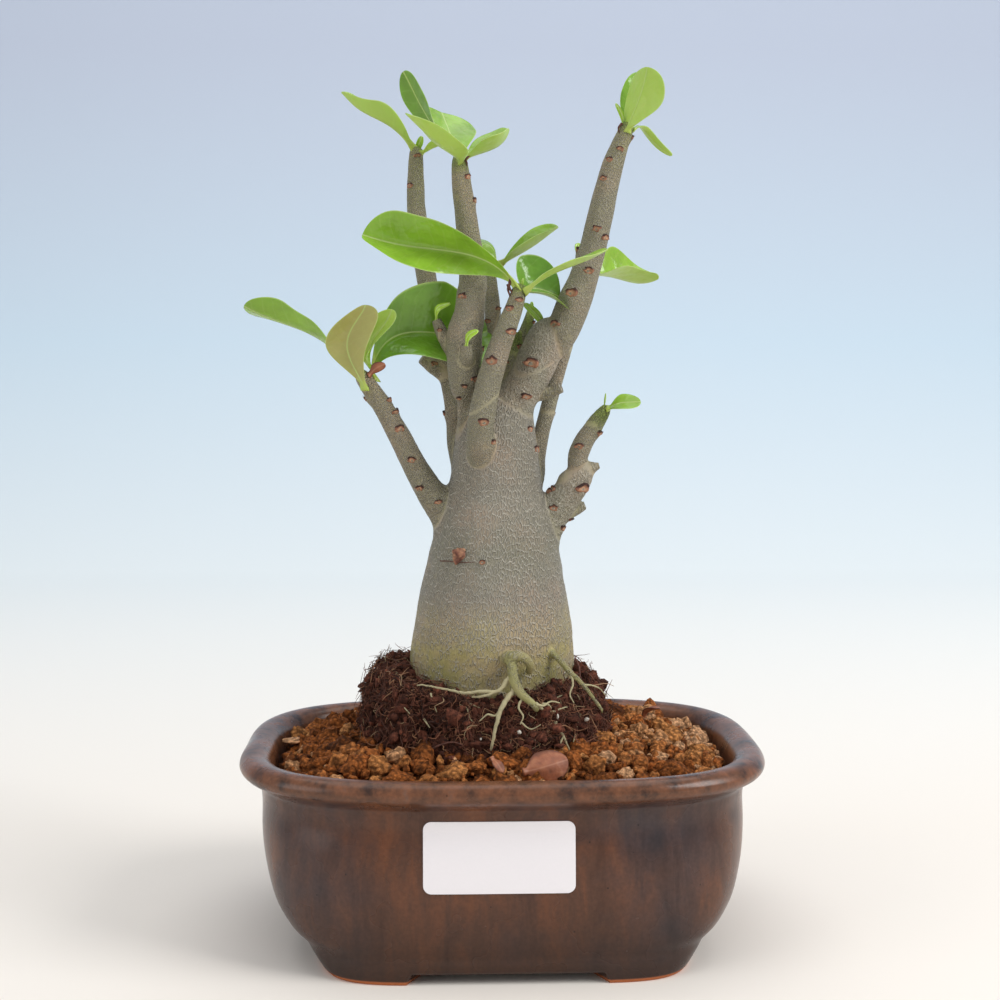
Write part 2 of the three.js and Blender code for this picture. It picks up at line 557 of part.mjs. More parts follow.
function buildPeat(extra) {
  const rows = PEAT_ROWS.map(([factor, z], i) => [
    factor * PEAT_HALF_WIDTH + (factor > 0 ? extra : 0),
    factor * PEAT_HALF_DEPTH + (factor > 0 ? extra : 0),
    z + (i < 2 ? -extra : 0),
    PEAT_SQUARENESS,
  ]);
  const geometry = planLoft(rows, PEAT_SEGMENTS);
  return toSolid(reshape(geometry, (point, i) => {
    const row = i % rows.length;
    const turn = Math.floor(i / rows.length) % PEAT_SEGMENTS;
    const lump = row > 1 && row < rows.length - 1 ? PEAT_LUMP * wobble(row, turn, 1) : 0;
    const height = smooth((point.z - PEAT_FLAT_Z) / (PEAT_FRONT_Z - PEAT_FLAT_Z));
    const away = Math.hypot(point.x / PEAT_HALF_WIDTH, Math.max(0, point.y) / PEAT_HALF_DEPTH);
    const left = Math.max(0, -point.x / PEAT_HALF_WIDTH);
    point.z += height * (PEAT_SIDE_RISE * away ** 2 + PEAT_LEFT_RISE * left ** 2);
    point.x = PEAT_X + point.x * (1 + lump / PEAT_HALF_WIDTH);
    point.y *= 1 + lump / PEAT_HALF_WIDTH;
  }));
}

// The granule bed fills the pot's inside, less a clearance, and is heaped towards the peat.
function buildGravel() {
  const walls = POT_INSIDE
    .filter(([halfWidth, , z]) => z < GRAVEL_WALL_Z && halfWidth > 0)
    .reverse()
    .map(([halfWidth, halfDepth, z]) => [halfWidth - 2 * GAP, halfDepth - 2 * GAP, z + GAP]);
  const rows = [
    [0, 0, FLOOR_Z + GAP],
    ...walls,
    [58, 42.8, GRAVEL_WALL_Z],
    [53, 38.6, GRAVEL_WALL_Z + 2],
    [47, 34.6, GRAVEL_WALL_Z + 4],
    [41, 31, GRAVEL_CREST_Z],
    [0, 0, GRAVEL_CREST_Z],
  ];
  const wallRow = rows.length - 5;
  const geometry = planLoft(rows, POT_SEGMENTS);
  reshape(geometry, (point, i) => {
    const row = i % rows.length;
    const turn = Math.floor(i / rows.length) % POT_SEGMENTS;
    if (row > wallRow && row < rows.length - 1) point.z += GRAVEL_LUMP * wobble(row, turn, 2);
    if (row === wallRow) point.z += GRAVEL_BACK_RISE * smooth(point.y / POT_HALF_DEPTH);
  });
  return toSolid(geometry);
}

// Dry litter that lies on the granules: a fallen leaf, a leaf scrap and a chip of bark.
const FALLEN_LEAF = {
  base: [4.6, -36.2, 50.1], tip: [15.2, -33.6, 51.6],
  width: 8.2, roll: 52, fold: 8,
};
const DRY_SCRAP = {
  base: [39.6, 12.6, 51.8], tip: [44.4, 12.4, 53.9],
  width: 4, roll: -20, bow: 0.6,
};
const BARK_CHIP = { size: [7.4, 3.4, 1.1], place: [-54.2, 3.6, 48.2], turn: -12, tilt: -16 };

// ---------------------------------------------------------------- the object

const COLOURS = {
  glaze: [0x5b3a28, 0.35],
  paper: [0xf3eff2, 0.6],
  mesh: [0x26282a, 0.6],
  granules: [0x9a5a2c, 0.95],
  peat: [0x3a211b, 1],
  bark: [0xb0a792, 0.8],
  leaf: [0x6aa12f, 0.35],
  dry: [0xb06a52, 0.8],
};

const model = new THREE.Group();

function addPiece(name, geometry, finish) {
  const [color, roughness] = COLOURS[finish];
  const material = new THREE.MeshStandardMaterial({ color, roughness, metalness: 0 });
  const piece = new THREE.Mesh(geometry, material);
  piece.name = name;
  model.add(piece);
  return piece;
}

addPiece('pot', buildPot(), 'glaze');
addPiece('label', buildLabel(), 'paper');

const meshRoom = MESH_SIDE / 2 + GAP;
const meshTop = FLOOR_Z + GAP + MESH_THICKNESS + GAP;
const grownBody = buildGrownBody(0);
const grownRoom = buildGrownBody(GAP + 0.05);
const peat = buildPeat(0).subtract(grownRoom);
let gravel = buildGravel().subtract(buildPeat(GAP + 0.1)).subtract(grownRoom);
for (const [side, name] of [[-1, 'drain_mesh_left'], [1, 'drain_mesh_right']]) {
  const x = side * DRAIN_X;
  const piece = addPiece(name, buildDrainMesh(), 'mesh');
  piece.position.set(x, 0, FLOOR_Z + GAP);
  gravel = gravel.subtract(box(x - meshRoom, x + meshRoom, -meshRoom, meshRoom, 0, meshTop));
}
addPiece('gravel_bed', toGeometry(gravel), 'granules');
addPiece('root_ball', toGeometry(peat), 'peat');
addPiece('caudex', toGeometry(grownBody), 'bark');

for (const leaf of LEAVES) {
  const blade = largestPart(toSolid(leafGeometry(leaf)).subtract(grownRoom));
  addPiece(leaf.name, toGeometry(blade), 'leaf');
}

addPiece('fallen_leaf', leafGeometry(FALLEN_LEAF), 'dry');
addPiece('dry_scrap', leafGeometry(DRY_SCRAP), 'dry');
const chip = addPiece('bark_chip', new THREE.BoxGeometry(...BARK_CHIP.size), 'dry');
chip.position.set(...BARK_CHIP.place);
chip.rotation.y = THREE.MathUtils.degToRad(BARK_CHIP.tilt);
chip.rotation.z = THREE.MathUtils.degToRad(BARK_CHIP.turn);

export default model;
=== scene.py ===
import math

import bpy
import numpy as np
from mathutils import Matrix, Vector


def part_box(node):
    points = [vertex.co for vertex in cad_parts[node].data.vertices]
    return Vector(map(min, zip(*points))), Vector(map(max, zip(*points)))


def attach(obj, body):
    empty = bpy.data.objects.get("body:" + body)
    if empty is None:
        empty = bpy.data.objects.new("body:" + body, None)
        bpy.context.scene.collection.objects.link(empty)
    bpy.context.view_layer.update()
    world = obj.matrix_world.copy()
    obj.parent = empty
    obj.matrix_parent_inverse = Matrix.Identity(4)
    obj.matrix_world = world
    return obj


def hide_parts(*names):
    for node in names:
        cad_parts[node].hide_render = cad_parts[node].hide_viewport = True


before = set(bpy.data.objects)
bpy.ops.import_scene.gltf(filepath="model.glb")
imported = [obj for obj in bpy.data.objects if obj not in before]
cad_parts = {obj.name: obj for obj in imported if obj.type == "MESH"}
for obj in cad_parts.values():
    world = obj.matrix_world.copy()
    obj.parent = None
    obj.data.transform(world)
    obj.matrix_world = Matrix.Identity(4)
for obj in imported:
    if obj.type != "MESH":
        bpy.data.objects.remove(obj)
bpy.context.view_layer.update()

bl_info = {
    "name": "Potted Desert Rose",
    "version": (1, 0, 0),
    "blender": (4, 5, 0),
    "location": "View3D > Sidebar > Desert Rose",
    "description": "A young desert rose with a swollen trunk in a glazed bonsai pot",
    "category": "Object",
}

# Every shape below is worked out in millimetres, in the row's frame: +Z up, -Y the front.
MM = 0.001
UP = np.array([0.0, 0.0, 1.0])
FRONT = np.array([0.0, -1.0, 0.0])


# ------------------------------------------------------------------ sizes of the pieces

# The pot's skin from the lip down to the belly: half width, half depth, height, squareness of
# the plan curve (2 is an ellipse, high is a rectangle).
POT_OUTER_ROWS = (
    (64.8, 48.9, 50.0, 3.2), (66.6, 50.7, 49.4, 3.2), (67.8, 51.8, 47.9, 3.2),
    (67.9, 51.9, 46.5, 3.2), (66.9, 51.0, 45.1, 3.2), (64.7, 49.2, 43.7, 3.2),
    (63.2, 47.9, 42.4, 3.2), (62.7, 47.5, 40.6, 3.2), (62.5, 47.5, 37.5, 3.2),
    (62.4, 48.3, 31.0, 3.4), (61.6, 48.9, 24.0, 3.6), (59.2, 49.0, 16.0, 4.0),
    (55.4, 48.6, 10.0, 4.4), (51.6, 47.9, 6.6, 4.7),
)
# The foot rows add a second height: the first is where a foot stands, the second between feet.
POT_FOOT_ROWS = (
    (49.6, 48.0, 4.2, 5.2, 4.9), (47.4, 47.9, 1.6, 5.8, 3.5), (46.2, 47.5, 0.3, 6.0, 2.8),
    (45.0, 46.6, 0.0, 6.0, 2.6), (38.0, 40.0, 0.0, 6.0, 2.6), (37.0, 39.0, 0.5, 6.0, 2.6),
    (36.4, 38.4, 2.6, 6.0, 2.6), (20.0, 18.0, 2.6, 3.0, 2.6),
)
POT_INNER_ROWS = (
    (34.0, 30.0, 8.0, 4.0), (43.0, 36.0, 8.8, 4.0), (51.0, 41.0, 12.0, 3.8),
    (55.0, 43.0, 18.0, 3.6), (57.0, 43.4, 26.0, 3.4), (58.0, 43.4, 36.0, 3.2),
    (59.4, 44.0, 44.0, 3.2), (60.4, 44.8, 47.8, 3.2), (62.2, 46.4, 49.5, 3.2),
)
POT_SEGMENTS = 288
POT_ROWS_BETWEEN = 5
FOOT_INNER_X = 23.5
FOOT_INNER_Y = 25.0
DRAIN_RADIUS = 6.0
DRAIN_X = 24.0

# How blue-grey the glaze is, from the pot's left (0) to its right (1).
GLAZE_ZONES = ((0.0, 0.3), (0.09, 0.5), (0.2, 0.42), (0.3, 0.12), (0.42, 0.05), (0.52, 0.2),
               (0.58, 0.08), (0.66, 0.45), (0.82, 0.55), (0.9, 0.2), (1.0, 0.3))

LABEL_SIZE = (36.4, 17.1)
LABEL_CENTRE = (-2.2, 31.5)
LABEL_CORNER = 2.0
LABEL_THICKNESS = 0.22

PEAT_CENTRE_X = -4.8
PEAT_HALF = (31.5, 27.5)
PEAT_FLAT_Z = 50.0
PEAT_FRONT_Z = 65.0
PEAT_SIDE_RISE = 5.0
PEAT_LEFT_RISE = 3.6
PEAT_SQUARENESS = 2.2

GRAVEL_EDGE = (58.6, 43.4)
GRAVEL_SQUARENESS = 3.1
GRAVEL_WALL_Z = 45.4
GRAVEL_HEAP = 5.6
GRAVEL_BACK_RISE = 2.0

# The trunk and its limbs: (name, width of the soft join to the rest, points of x, y, z, radius).
TRUNK = (
    (-2.4, 0, 52, 15), (-2.5, 0, 56, 20), (-2.5, 0, 66, 21.7), (-2.4, 0, 76, 21.2),
    (-2, 0, 87, 19.3), (-1.8, 0, 96, 17.4), (-1.4, 0, 104, 15.6), (-1.6, 0, 112, 12.8),
    (-1.6, 0, 120, 11.7), (-1.5, 0, 127, 10.9), (-1.2, 0, 131, 9.8), (-0.4, 0, 134, 7.5),
    (0.4, 0, 136, 5),
)
LIMBS = (
    ("low_left", 3.0, ((-8, 0, 103, 6), (-16.3, -1, 112, 4.2), (-22, -2.5, 121, 3.3),
                       (-26.6, -4, 130, 2.9), (-31, -5.5, 138, 2.5), (-35.4, -7, 144.6, 2.1),
                       (-36.6, -7.6, 146.6, 1.3))),
    ("back_left", 1.0, ((-8, 2, 120, 4.5), (-11.2, 3.4, 127, 3), (-12.5, 4.5, 136.3, 2.2),
                        (-14.3, 5.5, 145.3, 2.1), (-15.9, 6, 149.5, 2.2), (-17.6, 7.6, 160.5, 2.6),
                        (-19.8, 9.5, 172.5, 2.7), (-22.2, 11, 189, 2.5), (-22.4, 12.6, 203.4, 2),
                        (-22.1, 13, 206, 1.35))),
    ("front_left", 0.8, ((-8.2, -2, 130, 3.4), (-9, -3, 137, 2.6), (-9.4, -5, 140.1, 2.4),
                         (-9.9, -6.5, 142.7, 3.4), (-9.9, -7.5, 146.1, 4.15),
                         (-9.9, -8, 151.2, 4.5), (-9.8, -8, 156.3, 4.5), (-9, -8, 159.6, 4.2),
                         (-8.5, -8, 162, 3.9), (-8.1, -8, 166.5, 3.7), (-7.6, -8, 170.4, 3.6),
                         (-8.6, -8, 180.5, 3), (-9.6, -8, 188.1, 2.7), (-10.4, -8, 194.4, 2.45),
                         (-10.9, -8, 199.4, 2.05), (-11, -8, 201.6, 1.4))),
    ("middle", 1.8, ((-5.4, -8.6, 125, 3.4), (-5.8, -10.6, 128.2, 3.6), (-5.9, -12, 132.1, 3.35),
                     (-5.2, -12.6, 137.2, 3.3), (-3.9, -13, 143.6, 3.2), (-1.6, -13.4, 151.2, 3),
                     (0.6, -13.8, 157.5, 2.65), (2.7, -14, 163, 2.2), (3.9, -14, 167, 1.85),
                     (4.2, -14, 168.3, 1.3))),
    ("right_stump", 3.0, ((0.9, -1, 133, 5.3), (3.7, -1.5, 139.5, 5.2), (6.9, -2, 144.8, 5.1),
        (9.2, -2, 149.5, 5.2), (11, -2, 153.9, 5.2), (12, -2, 156.3, 4.6), (12.4, -2, 157.6, 3.4))),
    ("right", 1.0, ((14.4, -2.5, 153.9, 3.2), (15.7, -3, 157, 4), (17.2, -3.2, 160.9, 4.3),
                    (19, -3.4, 165.5, 4.3), (21, -3.6, 170.7, 3.8), (23.4, -4, 178.4, 3.4),
                    (25.1, -4.4, 186, 3.3), (26.8, -4.8, 193.6, 3), (28.5, -5.2, 200, 2.7),
                    (30.3, -5.6, 205, 2.2), (31.7, -6, 208.7, 1.8), (32.1, -6, 210, 1.3))),
    ("low_right_stump", 3.0, ((7, -1, 101, 6), (11, -1.6, 106, 4.8), (13.2, -2, 109.3, 4.3),
        (15.8, -2.4, 112.7, 4.2), (18.2, -2.8, 116.5, 3.8), (20.4, -3, 119.2, 3.3),
        (21.3, -3, 120.8, 2.6))),
    ("low_right", 0.9, ((19.6, -3, 121, 2.2), (19.7, -3, 122.6, 2.45), (20, -3, 124.9, 2.62),
                        (21, -3.4, 127.8, 2.62), (23, -3.8, 131.2, 2.36), (25.1, -4.2, 134.4, 2.1),
                        (26.6, -4.6, 136.5, 1.6), (27.2, -5, 137.8, 1.05))),
    ("thin", 1.2, ((0, 0, 138, 2.4), (-0.4, 1, 143.4, 2.1), (-1.1, 3, 151.3, 2.1),
                   (-2.1, 4.6, 157.9, 2.15), (-2.1, 5.6, 163.2, 2.15), (-2.5, 6.4, 168.6, 1.9),
                   (-2.6, 7, 172.5, 1.5), (-2.2, 7, 174.4, 1.1))),
    ("back_right", 0.9, ((4, 1, 112, 4.5), (7.9, 2, 118.3, 3.4), (9.5, 3, 124.6, 2.4),
                         (10.7, 4, 130.1, 2.1), (12.6, 5, 137.3, 2.05), (14.6, 6, 144.7, 2),
                         (16.7, 7, 151.6, 2), (18.6, 8.3, 158.5, 2.1), (21.4, 10.2, 167, 2.2),
                         (23.6, 11.4, 172.5, 1.8), (24, 12, 175, 1.3))),
    ("fork", 1.4, ((0.6, 0, 136, 3.4), (1.8, 0, 141, 2.4), (2.5, 0.2, 144.4, 2.1),
                   (3.3, 0.8, 149, 1.95), (3.6, 1.4, 153.9, 1.7), (3.8, 2, 157.1, 1.4))),
    ("fork_shoot", 0.8, ((3.4, 1.4, 150, 1.5), (4.3, 2.2, 153.4, 1.5), (5.6, 3.2, 156, 1.5),
                         (7.2, 4.6, 160.1, 1.35), (8.1, 6, 163, 1))),
)
STUMPS = (
    ((-13.4, 6, 145.6, 2.3), (-17.6, 5, 148, 2), (-21, 4, 150.4, 1.4)),
    ((-12.5, -6, 151.5, 1.9), (-15.2, -5.2, 156, 1.7), (-17, -4.6, 160.2, 1.2)),
    ((-9.6, -9.5, 149, 2.1), (-9.3, -12.6, 150.6, 1.8), (-9.4, -14.4, 153.6, 1.3)),
    ((10.5, -2, 141, 1.7), (12.8, -3, 141.6, 1.45), (15.4, -4, 142.8, 1.25)),
    ((17.4, -3, 118.4, 2.6), (21.8, -3, 121.1, 2.1), (25.6, -3, 122.4, 0.7)),
    ((14, -2, 110.5, 2.2), (18.4, -2, 110.6, 1.9), (22, -2, 111.8, 1)),
)
SURFACE_ROOTS = (
    # The knob that loops out of the trunk's foot, and its stem down into the peat.
    ((1, -18, 75, 1.2), (0.6, -21.6, 74.9, 1.35), (2.4, -24, 75.8, 1.25), (4.8, -24.4, 75.4, 1.2),
     (6.4, -23.6, 73.4, 1.05), (6.2, -21.6, 71.2, 0.9)),
    ((1.4, -22, 75.2, 1.2), (1.8, -24.6, 73.4, 1.25), (2.2, -26.4, 70, 1.2), (3.8, -27.6, 67, 1.1),
     (6.6, -28.4, 64.6, 0.9), (8, -27.4, 62.6, 0.7)),
    ((12.4, -15.8, 75, 0.7), (14.6, -17.9, 73, 0.75), (16.8, -19.4, 70.6, 0.7),
     (20, -20.3, 67.6, 0.55), (23.8, -20.9, 62.6, 0.45), (25.3, -21.3, 60.4, 0.35)),
)

# Fine rootlets on the peat: radius at the foot, then points of x, y, z.
ROOTLETS = (
    (0.75, (2, -25.4, 71.6), (0.2, -26.4, 69.6), (-1.3, -27, 67.8), (-5.1, -27, 66.3),
     (-8.2, -25.4, 65.6)),
    (0.5, (-2.6, -26.9, 67.2), (-6.3, -26.7, 67.3), (-10.1, -25.8, 66.7), (-12.6, -24.6, 67),
     (-15.1, -23.1, 67.2), (-20.1, -19.6, 67.5), (-22.2, -18.1, 67.3)),
    (0.75, (2.4, -26.8, 68), (0.2, -28, 65.3), (-1.4, -28.9, 62.5), (-2.4, -29.5, 59.1),
     (-3.3, -29.8, 54.8), (-3.6, -29.2, 53)),
    (0.4, (-1, -28.6, 63.2), (-2.6, -28.8, 61.6), (-4.6, -28.6, 61.8), (-6.4, -28.4, 60.2)),
    (0.35, (4.4, -28, 66), (3.2, -28.8, 63.6), (4.4, -29, 61.4), (3.6, -29.2, 59.4)),
    (0.4, (6.8, -28.3, 64.4), (9.4, -27.8, 63.8), (11.4, -26.6, 64.6), (13.8, -25, 63.9)),
    (0.35, (16.8, -19.6, 70.6), (17.4, -20.8, 68), (16.6, -21.8, 65.4), (17.6, -22.4, 63.2)),
    (0.3, (20, -20.5, 67.6), (22.4, -19.6, 67.2), (24.6, -18.2, 66), (26, -17, 64.2)),
    (0.45, (7.6, -28.1, 64.5), (9.2, -24.9, 62.5), (11.8, -23.3, 61.3), (14.2, -21.7, 61.7),
     (16.1, -20.1, 61.9)),
    (0.35, (9.3, -24.2, 63.6), (10.8, -23.8, 63.3), (11.6, -24, 62.3), (10.3, -24.8, 61.9)),
    (0.5, (12.8, -23.2, 58.7), (13.5, -23.7, 56.9), (14.8, -24, 55.1), (15.5, -24.2, 53.6),
     (16.3, -24.4, 51.8)),
    (0.3, (14.8, -24, 55.1), (14, -25, 53.5), (14.5, -25.4, 52)),
    (0.35, (-29.7, -14.5, 64), (-29.4, -16.5, 62.2), (-28.9, -18.5, 60.2)),
    (0.25, (-26.8, -18.4, 63.1), (-25.5, -20.2, 62.1), (-24, -22, 60.7)),
    (0.3, (-18.6, -20.9, 65.7), (-18.1, -22.6, 64.1), (-17.1, -24.4, 61.6)),
    (0.25, (-20.4, -24.3, 59.9), (-18.9, -25.6, 57.9)),
    (0.25, (-11.3, -24, 63.3), (-9.5, -25, 62.5), (-8.8, -26.3, 60.4), (-7.8, -27, 59.3)),
    (0.2, (-8.8, -24.3, 63.7), (-6.3, -25.1, 62.8)),
    (0.2, (17.4, -22.9, 53.2), (18.3, -21.4, 56.4), (19.6, -18.7, 59.8)),
    (0.25, (11.1, -22.2, 63.7), (13.3, -20, 64.2), (15.2, -18.2, 64.6)),
    (0.25, (3.8, -27.4, 59.6), (6.3, -27.5, 57.8), (8.9, -26.8, 58.8)),
)
# Dark twigs and withered bits: radius, then points.
DARK_TWIGS = (
    (0.35, (-20.6, -29, 51.4), (-18.9, -26.8, 52.4), (-16.4, -27.8, 54), (-13.4, -28.2, 54.8),
     (-10.9, -28.6, 54.2), (-9.6, -29, 53)),
    (0.28, (-34.2, -6, 61.8), (-36.2, -7.4, 62.8), (-36.6, -8.2, 61.9), (-35.4, -9, 61.1)),
    (0.3, (18.5, -13.5, 73.2), (19.4, -15, 71.4), (19.6, -16.5, 69.1), (20.2, -18, 67.5)),
    (0.9, (17, -15, 65.6), (17.3, -17.3, 62.9), (18.1, -20.3, 58.6)),
    (0.35, (-8.4, -9.3, 201.9), (-9.4, -9.6, 200.6), (-9.1, -9.5, 199.6), (-9.6, -9, 198.6)),
    (0.35, (30.6, -7.3, 210.2), (29.6, -7.4, 209), (30, -7.2, 207.6)),
    (0.5, (1.8, -14.6, 170.2), (1.4, -14.9, 168.5), (2.2, -15, 166.4)),
    (0.45, (1.2, -14.2, 168.8), (1.2, -14.8, 167.2), (1.8, -14.8, 165.4)),
    (0.16, (-16.2, -11.8, 98.4), (-14, -13.4, 98.5), (-11.6, -14.6, 98.3), (-8.4, -15.9, 98.5),
     (-4.6, -16.6, 98.8)),
)
# Where a limb was cut off the trunk long ago: middle, then half width, depth and height.
CUT_LIMB = ((-11.4, -14.3, 100.2), (1.6, 0.9, 1.9))
PERLITE = ((-27, -18, 58.6), (-6.2, -28.4, 55.6), (13.4, -23.6, 60.2), (21, -19.5, 58.4),
           (-31.6, -12, 61.5), (3.4, -28.6, 57.3))
CAVERN = (-18.9, -26.5, 56.8)

# Each leaf: node, foot of its stalk, end of its blade; then width, roll, twist, bow, sweep, where
# bow and sweep peak, fold, where it is widest, bluntness of its end, and tone from 0, an old dark
# leaf, to 1, a young yellow-green one.
LEAVES = (
    ("leaf_low_left_long", (-36, -3.4, 144.4), (-66.5, -4.6, 164),
     13.3, -172.7, 62.7, -3.2, -1.6, 0.46, -23, 0.76, 1.73, 0.55),
    ("leaf_low_left_khaki", (-35.1, -9.8, 142.2), (-35, -13.4, 163.8),
     11.1, -4.9, 40, 2.4, 4.9, 0.48, -28.8, 0.65, 2.2, 0.6),
    ("leaf_low_left_small", (-32.1, -5.7, 144.4), (-28.4, -7.4, 162.9),
     9.4, -121.4, 66.6, -3.1, 1.9, 0.36, -35.7, 0.62, 1.7, 0.9),
    ("leaf_low_left_large", (-34.2, -2.8, 144.3), (-3.2, 3.4, 157.7),
     25.5, 73, -9.5, 2, -8, 0.32, 36, 0.8, 1.45, 0.34),
    ("leaf_low_left_dead", (-34.4, -8.2, 146), (-30.2, -9.2, 149),
     2.8, -62, 0, 0, 0.5, 0.5, 0, 0.6, 2.2, 0.5),
    ("leaf_back_left_long", (-22.7, 12.6, 205.5), (-42.3, 15.7, 221.6),
     7.2, 22.1, -73.5, -1, -4.1, 0.45, 46.7, 0.57, 1.14, 0.7),
    ("leaf_back_left_bud", (-22.5, 14.2, 204.8), (-20.8, 13, 209.7),
     1.9, 113, 0, 0, 0, 0.5, 0, 0.6, 2.2, 1),
    ("leaf_back_left_short", (-21.2, 12.4, 205), (-14.4, 10.6, 207.6),
     4.2, 5, 0, 0.3, 0.3, 0.5, 40, 0.62, 2.2, 0.9),
    ("leaf_front_left_upright", (-11.1, -7.2, 200.3), (-25.1, -9.8, 222.5),
     8.1, -163.4, 63, 0, -1.5, 0.39, 19.8, 0.66, 1.8, 0.3),
    ("leaf_front_left_near", (-10.8, -9.2, 200), (-23.9, -21.8, 209.9),
     12, -9.9, -20.3, -2, -5.2, 0.35, 17.4, 0.55, 2.2, 0.8),
    ("leaf_front_left_behind", (-10.7, -5.4, 201.1), (-15.7, 7.8, 215),
     15.7, 4.1, 24.7, 0.4, -0.3, 0.38, 10.5, 0.69, 2.75, 0.55),
    ("leaf_front_left_right", (-10.3, -8.8, 200.8), (1.6, -7.3, 208.5),
     11.5, 9.1, 5.6, -1.5, 2.1, 0.65, 34.1, 0.61, 1.6, 0.7),
    ("leaf_middle_long", (4.2, -14.4, 167.2), (-35.5, -16, 181),
     13, -94.6, 74.7, -2.4, 4, 0.33, 48.7, 0.67, 3.5, 0.62),
    ("leaf_middle_curled", (5.2, -12.6, 167.7), (15.2, -2.7, 166),
     16.8, 42.7, 44.9, -2.1, -4.3, 0.5, 29.6, 0.47, 3.6, 0.25),
    ("leaf_middle_narrow", (5.1, -15, 166.8), (26.4, -13.3, 177.9),
     5.9, -6.1, 40.8, 0.6, 3.1, 0.42, 20.7, 0.62, 3.06, 0.65),
    ("leaf_middle_bud", (3.9, -13.4, 166.6), (5, -14.6, 170.5),
     0.9, 100, 0, 0, 0, 0.5, 0, 0.6, 2.2, 1),
    ("leaf_thin_left", (-1.8, 7, 174.2), (-11, 3.2, 183.3),
     9.2, -31.8, 63.7, 1.2, 5.3, 0.35, -9.6, 0.56, 2.6, 0.6),
    ("leaf_thin_right", (-0.4, 7.2, 175.3), (15.2, 5.4, 185.2),
     7.2, 19.2, 25.3, 0.2, 2.8, 0.39, 42.7, 0.5, 2.1, 0.65),
    ("leaf_back_right_long", (23.4, 12, 173.3), (43.1, 14, 172.2),
     14.9, 22.2, -37.3, -2.2, -4.4, 0.67, 40.4, 0.45, 1.66, 0.75),
    ("leaf_back_right_small", (22.8, 12.4, 173.9), (20.7, 12, 181.4),
     3.9, -62, 0, 0.3, 0.5, 0.5, 0, 0.62, 2.2, 0.8),
    ("leaf_right_bright", (31.8, -7, 207.9), (37, -8.8, 224.1),
     15.4, -126.6, -15.8, 0.4, -0.5, 0.58, 9, 0.66, 2.7, 0.85),
    ("leaf_right_behind", (32, -3, 208.3), (36.2, 3.4, 224.9),
     5.6, 33, 29.2, 0.9, -0.8, 0.55, 6.2, 0.61, 2.8, 0.4),
    ("leaf_right_bud", (31.2, -6.2, 208.6), (29.1, -6, 215.5),
     1.3, -75, 0, 0, 0.6, 0.5, 0, 0.6, 2.2, 0.9),
    ("leaf_right_drooping", (33.2, -5.8, 208.6), (45, 3.6, 203.6),
     3.1, -1.4, -49.4, 3.4, -2.9, 0.42, 22.1, 0.46, 2.2, 0.8),
    ("leaf_low_right", (27.3, -5.2, 137.2), (35.8, -8, 139.1),
     6, 40, 10, 1.2, 0.4, 0.45, 12, 0.5, 2.2, 0.65),
    ("leaf_low_right_bud", (26.6, -4, 137.2), (27, -5, 141.4),
     0.8, 81, 0, 0, 0, 0.5, 0, 0.6, 2.2, 0.9),
    ("sprout_left", (-17, -4.6, 159.6), (-13.5, -6, 164.6),
     2.3, 63, 0, 1.5, -1, 0.5, 0, 0.6, 2.2, 1),
    ("sprout_front", (-9.4, -14.2, 153), (-6.5, -16, 157.4),
     2.4, 69, 0, 0.9, -0.6, 0.5, 14, 0.6, 2.2, 1),
    ("sprout_fork", (8.1, 6, 162.4), (8.3, 6, 165.5),
     1.1, 90, 0, 0, 0, 0.5, 0, 0.6, 2.2, 1),
    ("sprout_right", (12, -2.8, 157.4), (5.8, -1, 164.8),
     3.6, -30, 0, 0, 0.7, 0.5, 9, 0.6, 2.2, 0.9),
)
FALLEN_LEAF = ((3.9, -38.2, 49.6), (15, -36, 52), 8.8, 62, -14, 0.8, 0.3, 0.5, -26, 0.46, 2.5)
DRY_SCRAP = ((39.2, 12.6, 50.6), (44.2, 12.2, 54.6), 4, -20, 60, 1.2, 0.4, 0.5, 30, 0.5, 2)
TAN_FLAKE = ((-3.8, -35.4, 52.4), (-0.9, -38.4, 49.6), 2.6, 20, 30, 0.5, 0, 0.5, 10, 0.5, 2)
DEAD_LEAVES = ("leaf_low_left_dead",)
STALK_WIDTH = 1.8
LEAF_THICKNESS = 0.55


# ------------------------------------------------------------------ settings a user may change

def colour_setting(name, description, default):
    """A colour property whose default is an sRGB hex value."""
    return bpy.props.FloatVectorProperty(
        name=name, description=description, subtype="COLOR", size=4, min=0.0, max=1.0,
        default=srgb(default))


def length_setting(name, description, default):
    """A length property, in metres, from a size in millimetres."""
    return bpy.props.FloatProperty(
        name=name, description=description, subtype="DISTANCE", unit="LENGTH", default=default * MM)


def srgb(hex_value):
    """An sRGB hex value such as "#5b3a28" as linear red, green, blue and alpha."""
    channels = [int(hex_value[i:i + 2], 16) / 255 for i in (1, 3, 5)]
    linear = [c / 12.92 if c <= 0.04045 else ((c + 0.055) / 1.055) ** 2.4 for c in channels]
    return (*linear, 1.0)


class PotSettings(bpy.types.PropertyGroup):
    glaze: colour_setting("Glaze", "Brown body of the satin glaze", "#543526")
    rust: colour_setting("Rust", "Where the glaze is thin and breaks to rust", "#70462d")
    blue: colour_setting("Blue runs", "Blue-grey runs in the glaze", "#3a3235")
    clay: colour_setting("Bare clay", "Unglazed soles of the feet", "#b2683f")
    paper: colour_setting("Paper", "The blank label", "#f3eff2")


